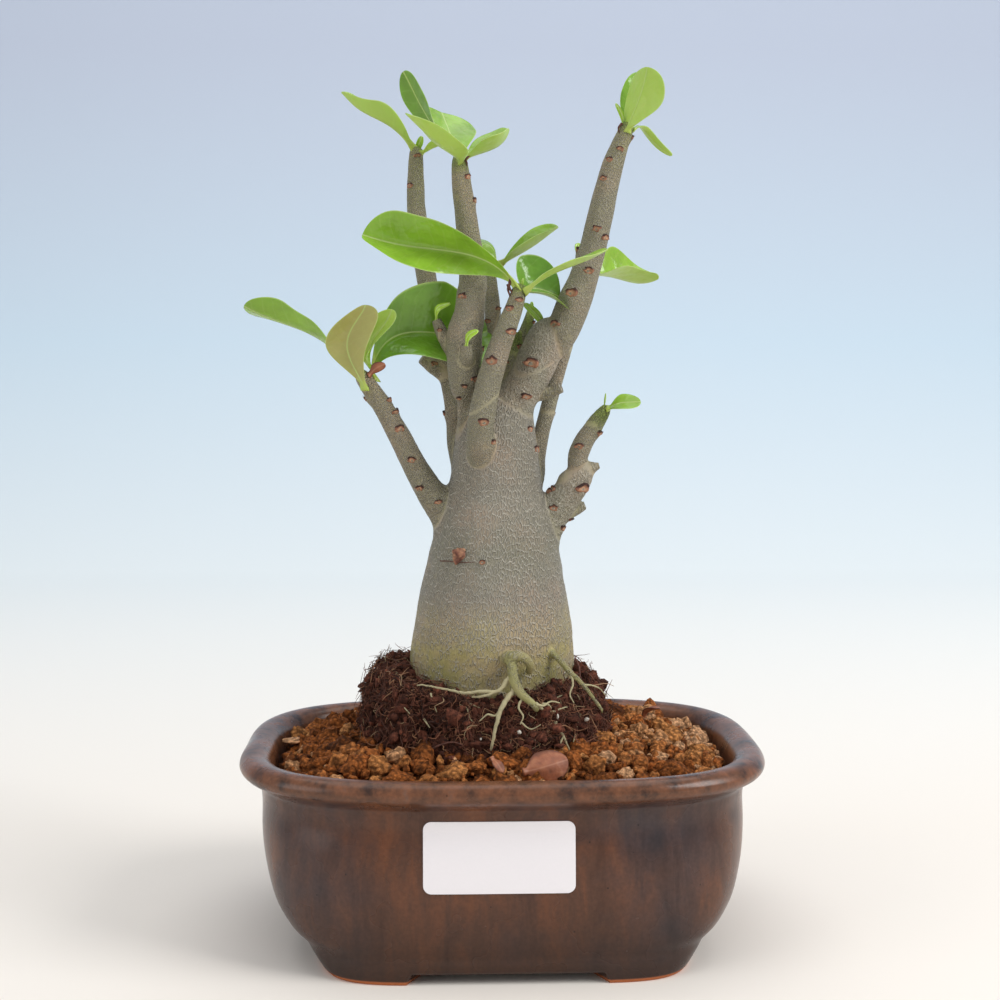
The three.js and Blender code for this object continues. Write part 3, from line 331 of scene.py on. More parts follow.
class SoilSettings(bpy.types.PropertyGroup):
    granule: length_setting("Granule", "Mean diameter of a clay granule", 3.7)
    granules: bpy.props.IntProperty(
        name="Granules", description="Most granules laid on the bed", default=900, min=1)
    clay: colour_setting("Granule", "Baked clay", "#a9622f")
    pale_clay: colour_setting("Pale granule", "Dusty or lighter baked clay", "#d3a075")
    peat: colour_setting("Peat", "Damp dark peat", "#4a2a20")
    rootlet: colour_setting("Rootlet", "Fine dry rootlets", "#aea581")
    fibres: bpy.props.IntProperty(
        name="Fibres", description="Fine fibres in each of the peat's two layers of them",
        default=3200, min=1)
    crumbs: bpy.props.IntProperty(
        name="Crumbs", description="Crumbs on the peat", default=3300, min=1)
    small: bpy.props.IntProperty(
        name="Small crumbs", description="Broken crumbs of clay between the granules",
        default=900, min=1)


class TreeSettings(bpy.types.PropertyGroup):
    voxel: length_setting("Skin step", "Size of the faces on trunk and limbs", 0.53)
    ridge: colour_setting("Bark ridges", "Pale wrinkles of the bark", "#ded8c9")
    valley: colour_setting("Bark valleys", "Grey-green skin between the wrinkles", "#979080")
    green: colour_setting("Green skin", "Greener skin of the shoots", "#98935f")
    base: colour_setting("Foot", "Yellow-green skin just above the peat", "#a69a64")
    band: colour_setting("Band", "Warm beige band above the foot", "#b3a67f")
    scar: colour_setting("Leaf scar", "Corky plates where leaves fell", "#a5775a")


class LeafSettings(bpy.types.PropertyGroup):
    old: colour_setting("Old leaf", "Upper side of an old leaf", "#51852c")
    young: colour_setting("Young leaf", "Upper side of a young leaf", "#9cc038")
    under: colour_setting("Underside", "Paler lower side", "#aecb50")
    rib: colour_setting("Midrib", "Pale midrib and veins", "#b9d07c")


class StageSettings(bpy.types.PropertyGroup):
    floor: colour_setting("Floor", "Plain pale floor", "#efe8df")
    haze: colour_setting("Haze", "Backdrop low down", "#eff5f5")
    wall: colour_setting("Wall", "Backdrop behind the pot", "#d0e1ed")
    top: colour_setting("Top", "Backdrop at the top", "#c4ccdc")
    light: bpy.props.FloatProperty(
        name="Light", description="Strength of the soft lights", default=1.0, min=0.0)


# ------------------------------------------------------------------ numbers

def ease(x):
    """From 0 to 1 as x goes from 0 to 1, with level ends: 3x^2 - 2x^3."""
    t = np.clip(x, 0.0, 1.0)
    return t * t * (3.0 - 2.0 * t)


def lattice_random(cell, seed):
    """A number from -1 to 1 for each integer lattice point, always the same."""
    x, y, z = (cell[..., i].astype(np.uint64) for i in range(3))
    h = x * np.uint64(73856093) ^ y * np.uint64(19349663) ^ z * np.uint64(83492791)
    h = (h ^ np.uint64(seed * 2654435761 & 0xFFFFFFFF)) & np.uint64(0xFFFFFFFF)
    h = (h ^ (h >> np.uint64(15))) * np.uint64(2246822519) & np.uint64(0xFFFFFFFF)
    h = (h ^ (h >> np.uint64(13))) * np.uint64(3266489917) & np.uint64(0xFFFFFFFF)
    h = h ^ (h >> np.uint64(16))
    return h.astype(np.float64) / 2147483647.5 - 1.0


def noise(points, seed=0):
    """Smooth noise: the lattice numbers of the eight corners round a point, eased together."""
    cell = np.floor(points)
    part = ease(points - cell)
    cell = cell.astype(np.int64) + 100000
    total = np.zeros(points.shape[:-1])
    for corner in np.ndindex(2, 2, 2):
        weight = np.prod(np.where(np.array(corner) == 1, part, 1.0 - part), axis=-1)
        total += weight * lattice_random(cell + np.array(corner), seed)
    return total


def fractal(points, octaves=3, seed=0):
    """Noise plus the same noise at half the size and half the strength, several times."""
    return sum(noise(points * 2.0 ** k, seed + k) * 0.5 ** k for k in range(octaves))


def spline(points, count):
    """A Catmull-Rom curve through the points: half of
    2b + (c - a)u + (2a - 5b + 4c - d)u^2 + (3b - a - 3c + d)u^3 between b and c."""
    p = np.asarray(points, float)
    p = np.vstack([2 * p[0] - p[1], p, 2 * p[-1] - p[-2]])
    place = np.linspace(0, len(p) - 3, count)
    i = np.minimum(place.astype(int), len(p) - 4)
    u = (place - i)[:, None]
    a, b, c, d = p[i], p[i + 1], p[i + 2], p[i + 3]
    return 0.5 * (2 * b + (c - a) * u + (2 * a - 5 * b + 4 * c - d) * u ** 2
                  + (3 * b - a - 3 * c + d) * u ** 3)


def unit(vectors):
    """Vectors of length one."""
    return vectors / np.maximum(np.linalg.norm(vectors, axis=-1, keepdims=True), 1e-9)


# ------------------------------------------------------------------ meshes

def grid_quads(rows, columns, wrap=True):
    """Corner numbers of the faces of a grid of rows by columns; wrap joins its two sides."""
    r = np.arange(rows - 1)[:, None]
    c = np.arange(columns if wrap else columns - 1)[None, :]
    n = (c + 1) % columns
    quads = np.stack([r * columns + c, r * columns + n, (r + 1) * columns + n,
                      (r + 1) * columns + c], axis=-1)
    return quads.reshape(-1, 4)


def closed_tubes(points):
    """Tubes as [tube, row, column, 3], each row a ring, closed by a point in the middle of each
    end ring. Gives corners, four-sided faces and three-sided faces."""
    count, rows, columns, _ = points.shape
    ends = points[:, [0, -1]].mean(axis=2)
    corners = np.concatenate([points.reshape(count, -1, 3), ends], axis=1)
    step = corners.shape[1]
    quads = grid_quads(rows, columns)
    c = np.arange(columns)
    n = (c + 1) % columns
    first = np.stack([np.full(columns, rows * columns), n, c], axis=-1)
    top = (rows - 1) * columns
    last = np.stack([np.full(columns, rows * columns + 1), top + c, top + n], axis=-1)
    shift = np.arange(count)[:, None, None] * step
    quads = (quads[None] + shift).reshape(-1, 4)
    fans = (np.concatenate([first, last])[None] + shift).reshape(-1, 3)
    return corners.reshape(-1, 3), quads, fans


def merged(groups):
    """Several sets of corners, four-sided and three-sided faces as one."""
    starts = np.cumsum([0] + [len(corners) for corners, _, _ in groups])
    return (np.vstack([corners for corners, _, _ in groups]),
            np.vstack([quads + start for (_, quads, _), start in zip(groups, starts)]),
            np.vstack([fans + start for (_, _, fans), start in zip(groups, starts)]))


def new_object(name, corners, faces, attributes=None, smooth=True):
    """A mesh object at the origin from corners in millimetres and lists of faces."""
    mesh = bpy.data.meshes.new(name)
    face_list = [face for group in faces for face in group.tolist()]
    mesh.from_pydata(corners * MM, [], face_list)
    mesh.validate()
    if smooth:
        mesh.shade_smooth()
    for key, values in (attributes or {}).items():
        add_attribute(mesh, key, values)
    piece = bpy.data.objects.new(name, mesh)
    bpy.context.scene.collection.objects.link(piece)
    return piece


def add_attribute(mesh, key, values):
    """A number or a vector for each corner, for the materials to read."""
    values = np.asarray(values, dtype=np.float32)
    kind = "FLOAT" if values.ndim == 1 else "FLOAT_VECTOR"
    field = "value" if values.ndim == 1 else "vector"
    mesh.attributes.new(key, kind, "POINT").data.foreach_set(field, values.ravel())


def tube_rings(path, radius, sides, forward=FRONT):
    """Rings round a path: centre + radius (right cos a + front sin a), square to the path."""
    along = unit(np.gradient(path, axis=-2))
    right = unit(np.cross(along, forward))
    front = np.cross(right, along)
    angle = np.linspace(0, 2 * math.pi, sides, endpoint=False)
    ring = (right[..., None, :] * np.cos(angle)[:, None]
            + front[..., None, :] * np.sin(angle)[:, None])
    return path[..., None, :] + ring * radius[..., None, None]


def finish_piece(piece, slot, material, *nodes):
    """Rides the piece on the one body, gives it its finish, and hides the nodes it stands for."""
    piece.data.materials.clear()
    piece.data.materials.append(material)
    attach(piece, "root")
    if nodes:
        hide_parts(*nodes)
    return piece


# ------------------------------------------------------------------ materials

def new_material(name):
    """A material with a bare shader: gives the material, its node tree and the shader."""
    material = bpy.data.materials.new(name)
    material.use_nodes = True
    tree = material.node_tree
    return material, tree, tree.nodes["Principled BSDF"]


def node(tree, kind, inputs=None, stops=None, **settings):
    """Adds a node. inputs holds values, or nodes and sockets to link; stops fills a colour ramp."""
    made = tree.nodes.new(kind)
    for key, value in settings.items():
        setattr(made, key, value)
    for key, value in (inputs or {}).items():
        socket = made.inputs[key]
        if isinstance(value, bpy.types.Node):
            tree.links.new(next(s for s in value.outputs if s.enabled), socket)
        elif isinstance(value, bpy.types.NodeSocket):
            tree.links.new(value, socket)
        else:
            socket.default_value = value
    if stops:
        ramp = made.color_ramp
        while len(ramp.elements) < len(stops):
            ramp.elements.new(0.5)
        for element, (place, colour) in zip(ramp.elements, stops):
            element.position = place
            element.color = colour
    return made


def blend_colour(tree, factor, first, second, mode="MIX"):
    """A mix of two colours, each a value, node or socket."""
    return node(tree, "ShaderNodeMix", {0: factor, 6: first, 7: second},
                data_type="RGBA", blend_type=mode).outputs[2]


def glaze_material(settings):
    """Satin stoneware glaze, fired brown: broad upright zones turn from rusty brown to blue-grey,
    with fine streaks that run down, a foot darkened by painted shade, a mottled rusty lip and a
    few dark pinholes; the soles are bare clay."""
    material, tree, shader = new_material("satin_brown_glaze")
    place = node(tree, "ShaderNodeTexCoord").outputs["Object"]
    split = node(tree, "ShaderNodeSeparateXYZ", {"Vector": place})
    # Streaks about 6 mm wide and 25 mm long, and patches of 15 mm.
    streak_space = node(tree, "ShaderNodeMapping", {"Vector": place, "Scale": (170, 170, 40)})
    streaks = node(tree, "ShaderNodeTexNoise", {"Vector": streak_space, "Scale": 1.0, "Detail": 5.0,
                                                "Roughness": 0.62, "Distortion": 0.5})
    patches = node(tree, "ShaderNodeTexNoise", {"Vector": place, "Scale": 65.0, "Detail": 3.0})
    grain = node(tree, "ShaderNodeTexNoise", {"Vector": place, "Scale": 1100.0, "Detail": 3.0})
    shifted = node(tree, "ShaderNodeMath", {0: patches.outputs["Fac"], 1: 0.016, 2: split.outputs["X"]},
                   operation="MULTIPLY_ADD")
    across = node(tree, "ShaderNodeMapRange", {"Value": shifted, "From Min": -0.06, "From Max": 0.076})
    zones = node(tree, "ShaderNodeValToRGB", {"Fac": across}, stops=[
        (place_, (value, value, value, 1.0)) for place_, value in GLAZE_ZONES])
    body = node(tree, "ShaderNodeValToRGB", {"Fac": streaks}, stops=[
        (0.26, srgb("#41261a")), (0.46, settings.glaze[:]), (0.64, srgb("#683e27")),
        (0.8, settings.rust[:])])
    blue = node(tree, "ShaderNodeValToRGB", {"Fac": streaks}, stops=[
        (0.30, srgb("#272124")), (0.5, settings.blue[:]), (0.66, srgb("#463937")),
        (0.8, srgb("#5f4433"))])
    blue_run = node(tree, "ShaderNodeMath", {0: patches.outputs["Fac"], 1: 1.1, 2: zones.outputs["Color"]},
                    operation="MULTIPLY_ADD")
    blue_mask = node(tree, "ShaderNodeMapRange", {"Value": blue_run, "From Min": 0.75, "From Max": 1.3})
    colour = blend_colour(tree, blue_mask, body.outputs["Color"], blue.outputs["Color"])
    height = split.outputs["Z"]
    # Painted shade: the glaze darkens towards the bottom, from 22 mm down to 3 mm above the table.
    low = node(tree, "ShaderNodeMapRange", {"Value": height, "From Min": 0.022, "From Max": 0.003,
                                            "To Max": 0.75})
    colour = blend_colour(tree, low, colour, srgb("#2e1c12"))
    lip_band = node(tree, "ShaderNodeMapRange", {"Value": height, "From Min": 0.0436, "From Max": 0.0462})
    lip_mix = node(tree, "ShaderNodeTexNoise", {"Vector": place, "Scale": 190.0, "Detail": 4.0,
                                                "Roughness": 0.65})
    lip_colour = node(tree, "ShaderNodeValToRGB", {"Fac": lip_mix}, stops=[
        (0.32, srgb("#37251e")), (0.46, srgb("#5f3e2c")), (0.6, srgb("#764b33")),
        (0.74, srgb("#6a5044"))])
    colour = blend_colour(tree, lip_band, colour, lip_colour.outputs["Color"])
    # Pinholes up to 0.6 mm across, where the skin passes one of the points 5 mm apart in space.
    pits = node(tree, "ShaderNodeTexVoronoi", {"Vector": place, "Scale": 190.0, "Randomness": 1.0})
    pit_mask = node(tree, "ShaderNodeMapRange", {"Value": pits.outputs["Distance"], "From Min": 0.03,
                                                 "From Max": 0.055, "To Min": 0.8, "To Max": 0.0})
    colour = blend_colour(tree, pit_mask, colour, srgb("#1c1410"))
    mottled = node(tree, "ShaderNodeMapRange", {"Value": grain, "From Min": 0.3, "From Max": 0.7,
                                                "To Min": 0.86, "To Max": 1.14})
    colour = blend_colour(tree, 1.0, colour, mottled, "MULTIPLY")
    sole = node(tree, "ShaderNodeMapRange", {"Value": height, "From Min": 0.0011, "From Max": 0.0007})
    colour = blend_colour(tree, sole, colour, settings.clay[:])
    tree.links.new(colour, shader.inputs["Base Color"])
    gloss = node(tree, "ShaderNodeMapRange", {"Value": patches, "From Min": 0.3, "From Max": 0.7,
                                              "To Min": 0.2, "To Max": 0.34})
    rough = node(tree, "ShaderNodeMix", {0: sole, 2: gloss, 3: 0.9})
    tree.links.new(rough.outputs[0], shader.inputs["Roughness"])
    shader.inputs["Specular IOR Level"].default_value = 0.38
    relief = node(tree, "ShaderNodeMath", {0: streaks.outputs["Fac"], 1: pit_mask}, operation="SUBTRACT")
    bump = node(tree, "ShaderNodeBump", {"Height": relief, "Strength": 0.3, "Distance": 0.00022})
    tree.links.new(bump.outputs["Normal"], shader.inputs["Normal"])
    return material


def paper_material(settings):
    """Coated label paper: white, nearly smooth, with a faint tooth."""
    material, tree, shader = new_material("coated_label_paper")
    place = node(tree, "ShaderNodeTexCoord").outputs["Object"]
    tooth = node(tree, "ShaderNodeTexNoise", {"Vector": place, "Scale": 1800.0, "Detail": 4.0})
    shade = node(tree, "ShaderNodeMapRange", {"Value": tooth, "To Min": 0.965, "To Max": 1.0})
    tree.links.new(blend_colour(tree, 1.0, settings.paper[:], shade, "MULTIPLY"), shader.inputs["Base Color"])
    shader.inputs["Roughness"].default_value = 0.42
    bump = node(tree, "ShaderNodeBump", {"Height": tooth, "Strength": 0.12, "Distance": 0.0001})
    tree.links.new(bump.outputs["Normal"], shader.inputs["Normal"])
    return material


def mesh_material():
    """Extruded polyethylene mesh: black, matte, with a faint pull grain."""
    material, tree, shader = new_material("black_polyethylene")
    place = node(tree, "ShaderNodeTexCoord").outputs["Object"]
    grain = node(tree, "ShaderNodeTexNoise", {"Vector": place, "Scale": 1500.0, "Detail": 3.0})
    colour = node(tree, "ShaderNodeValToRGB", {"Fac": grain}, stops=[
        (0.3, srgb("#17191a")), (0.7, srgb("#2c2f31"))])
    tree.links.new(colour.outputs["Color"], shader.inputs["Base Color"])
    shader.inputs["Roughness"].default_value = 0.55
    bump = node(tree, "ShaderNodeBump", {"Height": grain, "Strength": 0.2, "Distance": 0.0001})
    tree.links.new(bump.outputs["Normal"], shader.inputs["Normal"])
    return material


def granule_material(settings):
    """Low-fired clay granules: orange-brown, crumbly and matte, their skin a crust of grains
    nearly a millimetre across, with painted highlights on its crests and painted shade in its
    hollows. The tone attribute sets how light each granule is."""
    material, tree, shader = new_material("baked_clay_granule")
    place = node(tree, "ShaderNodeTexCoord").outputs["Object"]
    tone = node(tree, "ShaderNodeAttribute", attribute_name="tone").outputs["Fac"]
    crumbs = node(tree, "ShaderNodeTexNoise", {"Vector": place, "Scale": 950.0, "Detail": 5.0,
                                               "Roughness": 0.72})
    lumps = node(tree, "ShaderNodeTexVoronoi", {"Vector": place, "Scale": 1050.0}, feature="SMOOTH_F1")
    base = node(tree, "ShaderNodeValToRGB", {"Fac": tone}, stops=[
        (0.0, srgb("#5f3417")), (0.3, srgb("#8c5024")), (0.55, settings.clay[:]),
        (0.8, srgb("#bf814a")), (1.0, settings.pale_clay[:])])
    spots = node(tree, "ShaderNodeMapRange", {"Value": crumbs, "From Min": 0.3, "From Max": 0.72,
                                              "To Min": 0.5, "To Max": 1.5})
    colour = blend_colour(tree, 1.0, base.outputs["Color"], spots, "MULTIPLY")
    # Painted highlight and shade: the crust is lightened near the middle of each grain, on its crests, and
    # darkened towards their edges, in the hollows between them.
    hollow = node(tree, "ShaderNodeMapRange", {"Value": lumps.outputs["Distance"], "From Min": 0.2,
                                               "From Max": 0.62, "To Min": 1.45, "To Max": 0.4})
    colour = blend_colour(tree, 1.0, colour, hollow, "MULTIPLY")
    tree.links.new(colour, shader.inputs["Base Color"])
    shader.inputs["Roughness"].default_value = 0.95
    shader.inputs["Specular IOR Level"].default_value = 0.2
    height = node(tree, "ShaderNodeMath", {0: lumps.outputs["Distance"], 1: -1.3, 2: crumbs.outputs["Fac"]},
                  operation="MULTIPLY_ADD")
    bump = node(tree, "ShaderNodeBump", {"Height": height, "Strength": 1.0, "Distance": 0.0011})
    tree.links.new(bump.outputs["Normal"], shader.inputs["Normal"])
    return material


def peat_material(settings):
    """Damp milled peat: reddish dark brown crumbs, matte, almost black where they are wet. The
    tone attribute makes a crumb light; at 1 it is a bead of white perlite."""
    material, tree, shader = new_material("fibrous_peat")
    place = node(tree, "ShaderNodeTexCoord").outputs["Object"]
    tone = node(tree, "ShaderNodeAttribute", attribute_name="tone").outputs["Fac"]
    crumbs = node(tree, "ShaderNodeTexNoise", {"Vector": place, "Scale": 750.0, "Detail": 6.0,
                                               "Roughness": 0.75})
    colour = node(tree, "ShaderNodeValToRGB", {"Fac": crumbs}, stops=[
        (0.32, srgb("#1c0f0b")), (0.47, settings.peat[:]), (0.62, srgb("#6e4030")),
        (0.78, srgb("#8f6049"))])
    bright = node(tree, "ShaderNodeMapRange", {"Value": tone, "From Max": 0.8, "To Min": 0.45,
                                               "To Max": 2.1})
    shaded = blend_colour(tree, 1.0, colour.outputs["Color"], bright, "MULTIPLY")
    perlite = node(tree, "ShaderNodeMapRange", {"Value": tone, "From Min": 0.9, "From Max": 0.95})
    shaded = blend_colour(tree, perlite, shaded, srgb("#e6e0d2"))
    tree.links.new(shaded, shader.inputs["Base Color"])
    shader.inputs["Roughness"].default_value = 0.95
    shader.inputs["Specular IOR Level"].default_value = 0.2
    bump = node(tree, "ShaderNodeBump", {"Height": crumbs, "Strength": 0.9, "Distance": 0.0009})
    tree.links.new(bump.outputs["Normal"], shader.inputs["Normal"])
    return material


def fibre_material(settings):
    """Rootlets and peat fibres: from dark brown to dry tan by the tone attribute."""
    material, tree, shader = new_material("rootlet_fibre")
    place = node(tree, "ShaderNodeTexCoord").outputs["Object"]
    tone = node(tree, "ShaderNodeAttribute", attribute_name="tone").outputs["Fac"]
    grain = node(tree, "ShaderNodeTexNoise", {"Vector": place, "Scale": 1400.0, "Detail": 3.0})
    colour = node(tree, "ShaderNodeValToRGB", {"Fac": tone}, stops=[
        (0.0, srgb("#2f1911")), (0.5, srgb("#77452f")), (0.8, srgb("#a57a58")),
        (1.0, settings.rootlet[:])])
    shade = node(tree, "ShaderNodeMapRange", {"Value": grain, "To Min": 0.65, "To Max": 1.35})
    tree.links.new(blend_colour(tree, 1.0, colour, shade, "MULTIPLY"), shader.inputs["Base Color"])
    shader.inputs["Roughness"].default_value = 0.85
    return material


def bark_material(settings):
    """Thin living bark: silvery skin in bands of grey-green, warm beige and yellow-green, drawn
    over by a broken net of fine pale wrinkles, upright on the trunk, tighter on the shoots."""
    material, tree, shader = new_material("wrinkled_succulent_bark")
    place = node(tree, "ShaderNodeTexCoord").outputs["Object"]
    grain = node(tree, "ShaderNodeAttribute", attribute_name="grain").outputs["Vector"]
    read = {key: node(tree, "ShaderNodeAttribute", attribute_name=key).outputs["Fac"]
            for key in ("shoot", "green", "stain", "crown", "scrape", "seam")}
    # The net's cells are 0.75 mm wide and 1.7 mm tall on the trunk, 0.6 by 0.9 mm on a shoot.
    bend = node(tree, "ShaderNodeTexNoise", {"Vector": grain, "Scale": 0.4, "Detail": 2.0})
    shift = node(tree, "ShaderNodeVectorMath", {0: bend.outputs["Color"], 3: 0.9}, operation="SCALE")
    bent = node(tree, "ShaderNodeVectorMath", {0: grain, 1: shift}, operation="ADD")
    tall = node(tree, "ShaderNodeMapping", {"Vector": bent, "Scale": (1.35, 0.6, 1.0)})
    tight = node(tree, "ShaderNodeMapping", {"Vector": bent, "Scale": (1.7, 1.1, 1.0)})
    nets = []
    for space in (tall, tight):
        cells = node(tree, "ShaderNodeTexVoronoi", {"Vector": space, "Scale": 1.0},
                     feature="DISTANCE_TO_EDGE", voronoi_dimensions="2D")
        nets.append(node(tree, "ShaderNodeMapRange", {
            "Value": cells.outputs["Distance"], "From Min": 0.02, "From Max": 0.22, "To Min": 1.0,
            "To Max": 0.0}))
    net = node(tree, "ShaderNodeMix", {0: read["shoot"], 2: nets[0], 3: nets[1]})
    breaks = node(tree, "ShaderNodeTexNoise", {"Vector": grain, "Scale": 0.42, "Detail": 4.0,
                                               "Roughness": 0.6})
    edge = node(tree, "ShaderNodeMath", {0: read["scrape"], 1: 0.14, 2: 0.3}, operation="MULTIPLY_ADD")
    full = node(tree, "ShaderNodeMath", {0: edge, 1: 0.18}, operation="ADD")
    broken = node(tree, "ShaderNodeMapRange", {"Value": breaks, "From Min": edge, "From Max": full})
    drawn = node(tree, "ShaderNodeMapping", {"Vector": grain, "Scale": (1.0, 0.4, 1.0)})
    speckle = node(tree, "ShaderNodeTexNoise", {"Vector": drawn, "Scale": 2.6, "Detail": 5.0,
                                                "Roughness": 0.7})
    # Where one limb's own coordinates give way to another's, the patterns fade out.
    fine = node(tree, "ShaderNodeMix", {0: read["seam"], 2: speckle.outputs["Fac"], 3: 0.5})
    whole = node(tree, "ShaderNodeMath", {0: 1.0, 1: read["seam"]}, operation="SUBTRACT")
    wide = node(tree, "ShaderNodeTexNoise", {"Vector": place, "Scale": 85.0, "Detail": 3.0})
    wander = node(tree, "ShaderNodeMath", {
        0: wide.outputs["Fac"], 1: 0.006,
        2: node(tree, "ShaderNodeSeparateXYZ", {"Vector": place}).outputs["Z"]},
        operation="MULTIPLY_ADD")
    # Bands of skin colour from 70 mm to 120 mm above the table.
    level = node(tree, "ShaderNodeMapRange", {"Value": wander, "From Min": 0.073, "From Max": 0.123})
    skin = node(tree, "ShaderNodeValToRGB", {"Fac": level}, stops=[
        (0.0, srgb("#8f8752")), (0.1, settings.base[:]), (0.17, srgb("#ab9f76")),
        (0.24, settings.band[:]), (0.38, settings.valley[:]), (0.62, srgb("#8f8b78")),
        (0.85, settings.valley[:])])
    skin = blend_colour(tree, read["green"], skin.outputs["Color"], settings.green[:])
    pink = node(tree, "ShaderNodeMapRange", {"Value": wide, "From Min": 0.46, "From Max": 0.66,
                                             "To Max": 0.42})
    skin = blend_colour(tree, pink, skin, srgb("#b89d86"))
    strength = node(tree, "ShaderNodeMapRange", {"Value": read["shoot"], "To Min": 0.66, "To Max": 0.5})
    shown = node(tree, "ShaderNodeMath", {0: strength, 1: whole}, operation="MULTIPLY")
    ridge_mask = node(tree, "ShaderNodeMath", {
        0: node(tree, "ShaderNodeMath", {0: net.outputs[0], 1: broken}, operation="MULTIPLY"),
        1: shown}, operation="MULTIPLY")
    colour = blend_colour(tree, ridge_mask, skin, settings.ridge[:])
    speck = node(tree, "ShaderNodeMapRange", {"Value": fine.outputs[0], "From Min": 0.28, "From Max": 0.72,
                                              "To Min": 0.8, "To Max": 1.2})
    colour = blend_colour(tree, 1.0, colour, speck, "MULTIPLY")
    colour = blend_colour(tree, read["crown"], colour, srgb("#869a45"))
    colour = blend_colour(tree, read["stain"], colour, srgb("#865c42"))
    tree.links.new(colour, shader.inputs["Base Color"])
    shader.inputs["Roughness"].default_value = 0.6
    shader.inputs["Specular IOR Level"].default_value = 0.4
    height = node(tree, "ShaderNodeMath", {0: ridge_mask, 1: 1.8, 2: fine.outputs[0]},
                  operation="MULTIPLY_ADD")
    bump = node(tree, "ShaderNodeBump", {"Height": height, "Strength": 1.0, "Distance": 0.0006})
    tree.links.new(bump.outputs["Normal"], shader.inputs["Normal"])
    return material


def scar_material(settings):
    """Corky leaf scars and dry bud scales: tan where smooth, reddish brown along the rim, by the
    rim attribute."""
    material, tree, shader = new_material("corky_leaf_scar")
    place = node(tree, "ShaderNodeTexCoord").outputs["Object"]
    rim = node(tree, "ShaderNodeAttribute", attribute_name="rim").outputs["Fac"]
    grain = node(tree, "ShaderNodeTexNoise", {"Vector": place, "Scale": 1300.0, "Detail": 4.0})
    colour = node(tree, "ShaderNodeValToRGB", {"Fac": rim}, stops=[
        (0.0, srgb("#bb9a7c")), (0.35, settings.scar[:]), (0.68, srgb("#74483a")),
        (0.95, srgb("#3d241b"))])
    shade = node(tree, "ShaderNodeMapRange", {"Value": grain, "From Min": 0.3, "From Max": 0.7,
                                              "To Min": 0.55, "To Max": 1.35})
    tree.links.new(blend_colour(tree, 1.0, colour.outputs["Color"], shade, "MULTIPLY"),
                   shader.inputs["Base Color"])
    shader.inputs["Roughness"].default_value = 0.8
    bump = node(tree, "ShaderNodeBump", {"Height": grain, "Strength": 0.7, "Distance": 0.0003})
    tree.links.new(bump.outputs["Normal"], shader.inputs["Normal"])
    return material


def leaf_material(settings):
    """Fleshy waxy leaf: glossy mid-green above with a thin pale sunk midrib and hardly any veins,
    paler and yellower below, with a hair-thin pale margin and a yellow-green stalk. The tone
    attribute makes a leaf old or young."""
    material, tree, shader = new_material("waxy_leaf")
    read = {key: node(tree, "ShaderNodeAttribute", attribute_name=key).outputs["Fac"]
            for key in ("tone", "under", "across", "along", "edge", "khaki", "stalk")}
    place = node(tree, "ShaderNodeTexCoord").outputs["Object"]
    cloud = node(tree, "ShaderNodeTexNoise", {"Vector": place, "Scale": 130.0, "Detail": 4.0})
    fine = node(tree, "ShaderNodeTexNoise", {"Vector": place, "Scale": 1100.0, "Detail": 3.0})
    upper = blend_colour(tree, read["tone"], settings.old[:], settings.young[:])
    cloudy = node(tree, "ShaderNodeMapRange", {"Value": cloud, "From Min": 0.3, "From Max": 0.7,
                                               "To Min": 0.82, "To Max": 1.18})
    upper = blend_colour(tree, 1.0, upper, cloudy, "MULTIPLY")
    lower = blend_colour(tree, read["tone"], srgb("#8fa85a"), settings.under[:])
    colour = blend_colour(tree, read["under"], upper, lower)
    colour = blend_colour(tree, read["khaki"], colour, srgb("#a89f60"))
    # The blade is blistered between its veins, in pads about 4 mm wide.
    blister = node(tree, "ShaderNodeTexNoise", {"Vector": place, "Scale": 260.0, "Detail": 2.0})
    # Side veins leave the midrib every 3.2 mm and slope forward.
    away = node(tree, "ShaderNodeMath", {0: read["across"]}, operation="ABSOLUTE")
    slope = node(tree, "ShaderNodeMath", {0: away, 1: -0.7, 2: read["along"]}, operation="MULTIPLY_ADD")
    uneven = node(tree, "ShaderNodeMath", {0: cloud.outputs["Fac"], 1: 5.0, 2: slope},
                  operation="MULTIPLY_ADD")
    wave = node(tree, "ShaderNodeMath", {
        0: node(tree, "ShaderNodeMath", {0: uneven, 1: 2 * math.pi / 3.2}, operation="MULTIPLY")},
        operation="SINE")
    vein = node(tree, "ShaderNodeMapRange", {"Value": wave, "From Min": 0.86, "From Max": 1.0,
                                             "To Max": 0.07})
    rib = node(tree, "ShaderNodeMapRange", {"Value": away, "From Min": 0.1, "From Max": 0.3,
                                            "To Min": 0.75, "To Max": 0.0})
    lines = node(tree, "ShaderNodeMath", {0: vein, 1: rib}, operation="MAXIMUM")
    colour = blend_colour(tree, lines, colour, settings.rib[:])
    margin = node(tree, "ShaderNodeMapRange", {"Value": read["edge"], "From Min": 0.95, "From Max": 0.99,
                                               "To Max": 0.55})
    colour = blend_colour(tree, margin, colour, srgb("#c3d68c"))
    colour = blend_colour(tree, read["stalk"], colour, srgb("#a8bb55"))
    tree.links.new(colour, shader.inputs["Base Color"])
    rough = node(tree, "ShaderNodeMapRange", {"Value": read["under"], "To Min": 0.22, "To Max": 0.4})
    tree.links.new(rough.outputs["Result"], shader.inputs["Roughness"])
    shader.inputs["Subsurface Weight"].default_value = 0.15
    shader.inputs["Subsurface Radius"].default_value = (0.5, 1.0, 0.2)
    shader.inputs["Subsurface Scale"].default_value = 0.001
    grooves = node(tree, "ShaderNodeMath", {0: fine.outputs["Fac"], 1: 0.15, 2: lines},
                   operation="MULTIPLY_ADD")
    height = node(tree, "ShaderNodeMath", {0: blister.outputs["Fac"], 1: 4.0, 2: grooves},
                  operation="MULTIPLY_ADD")
    bump = node(tree, "ShaderNodeBump", {"Height": height, "Strength": 0.5, "Distance": 0.00028},
                invert=True)
    tree.links.new(bump.outputs["Normal"], shader.inputs["Normal"])
    return material


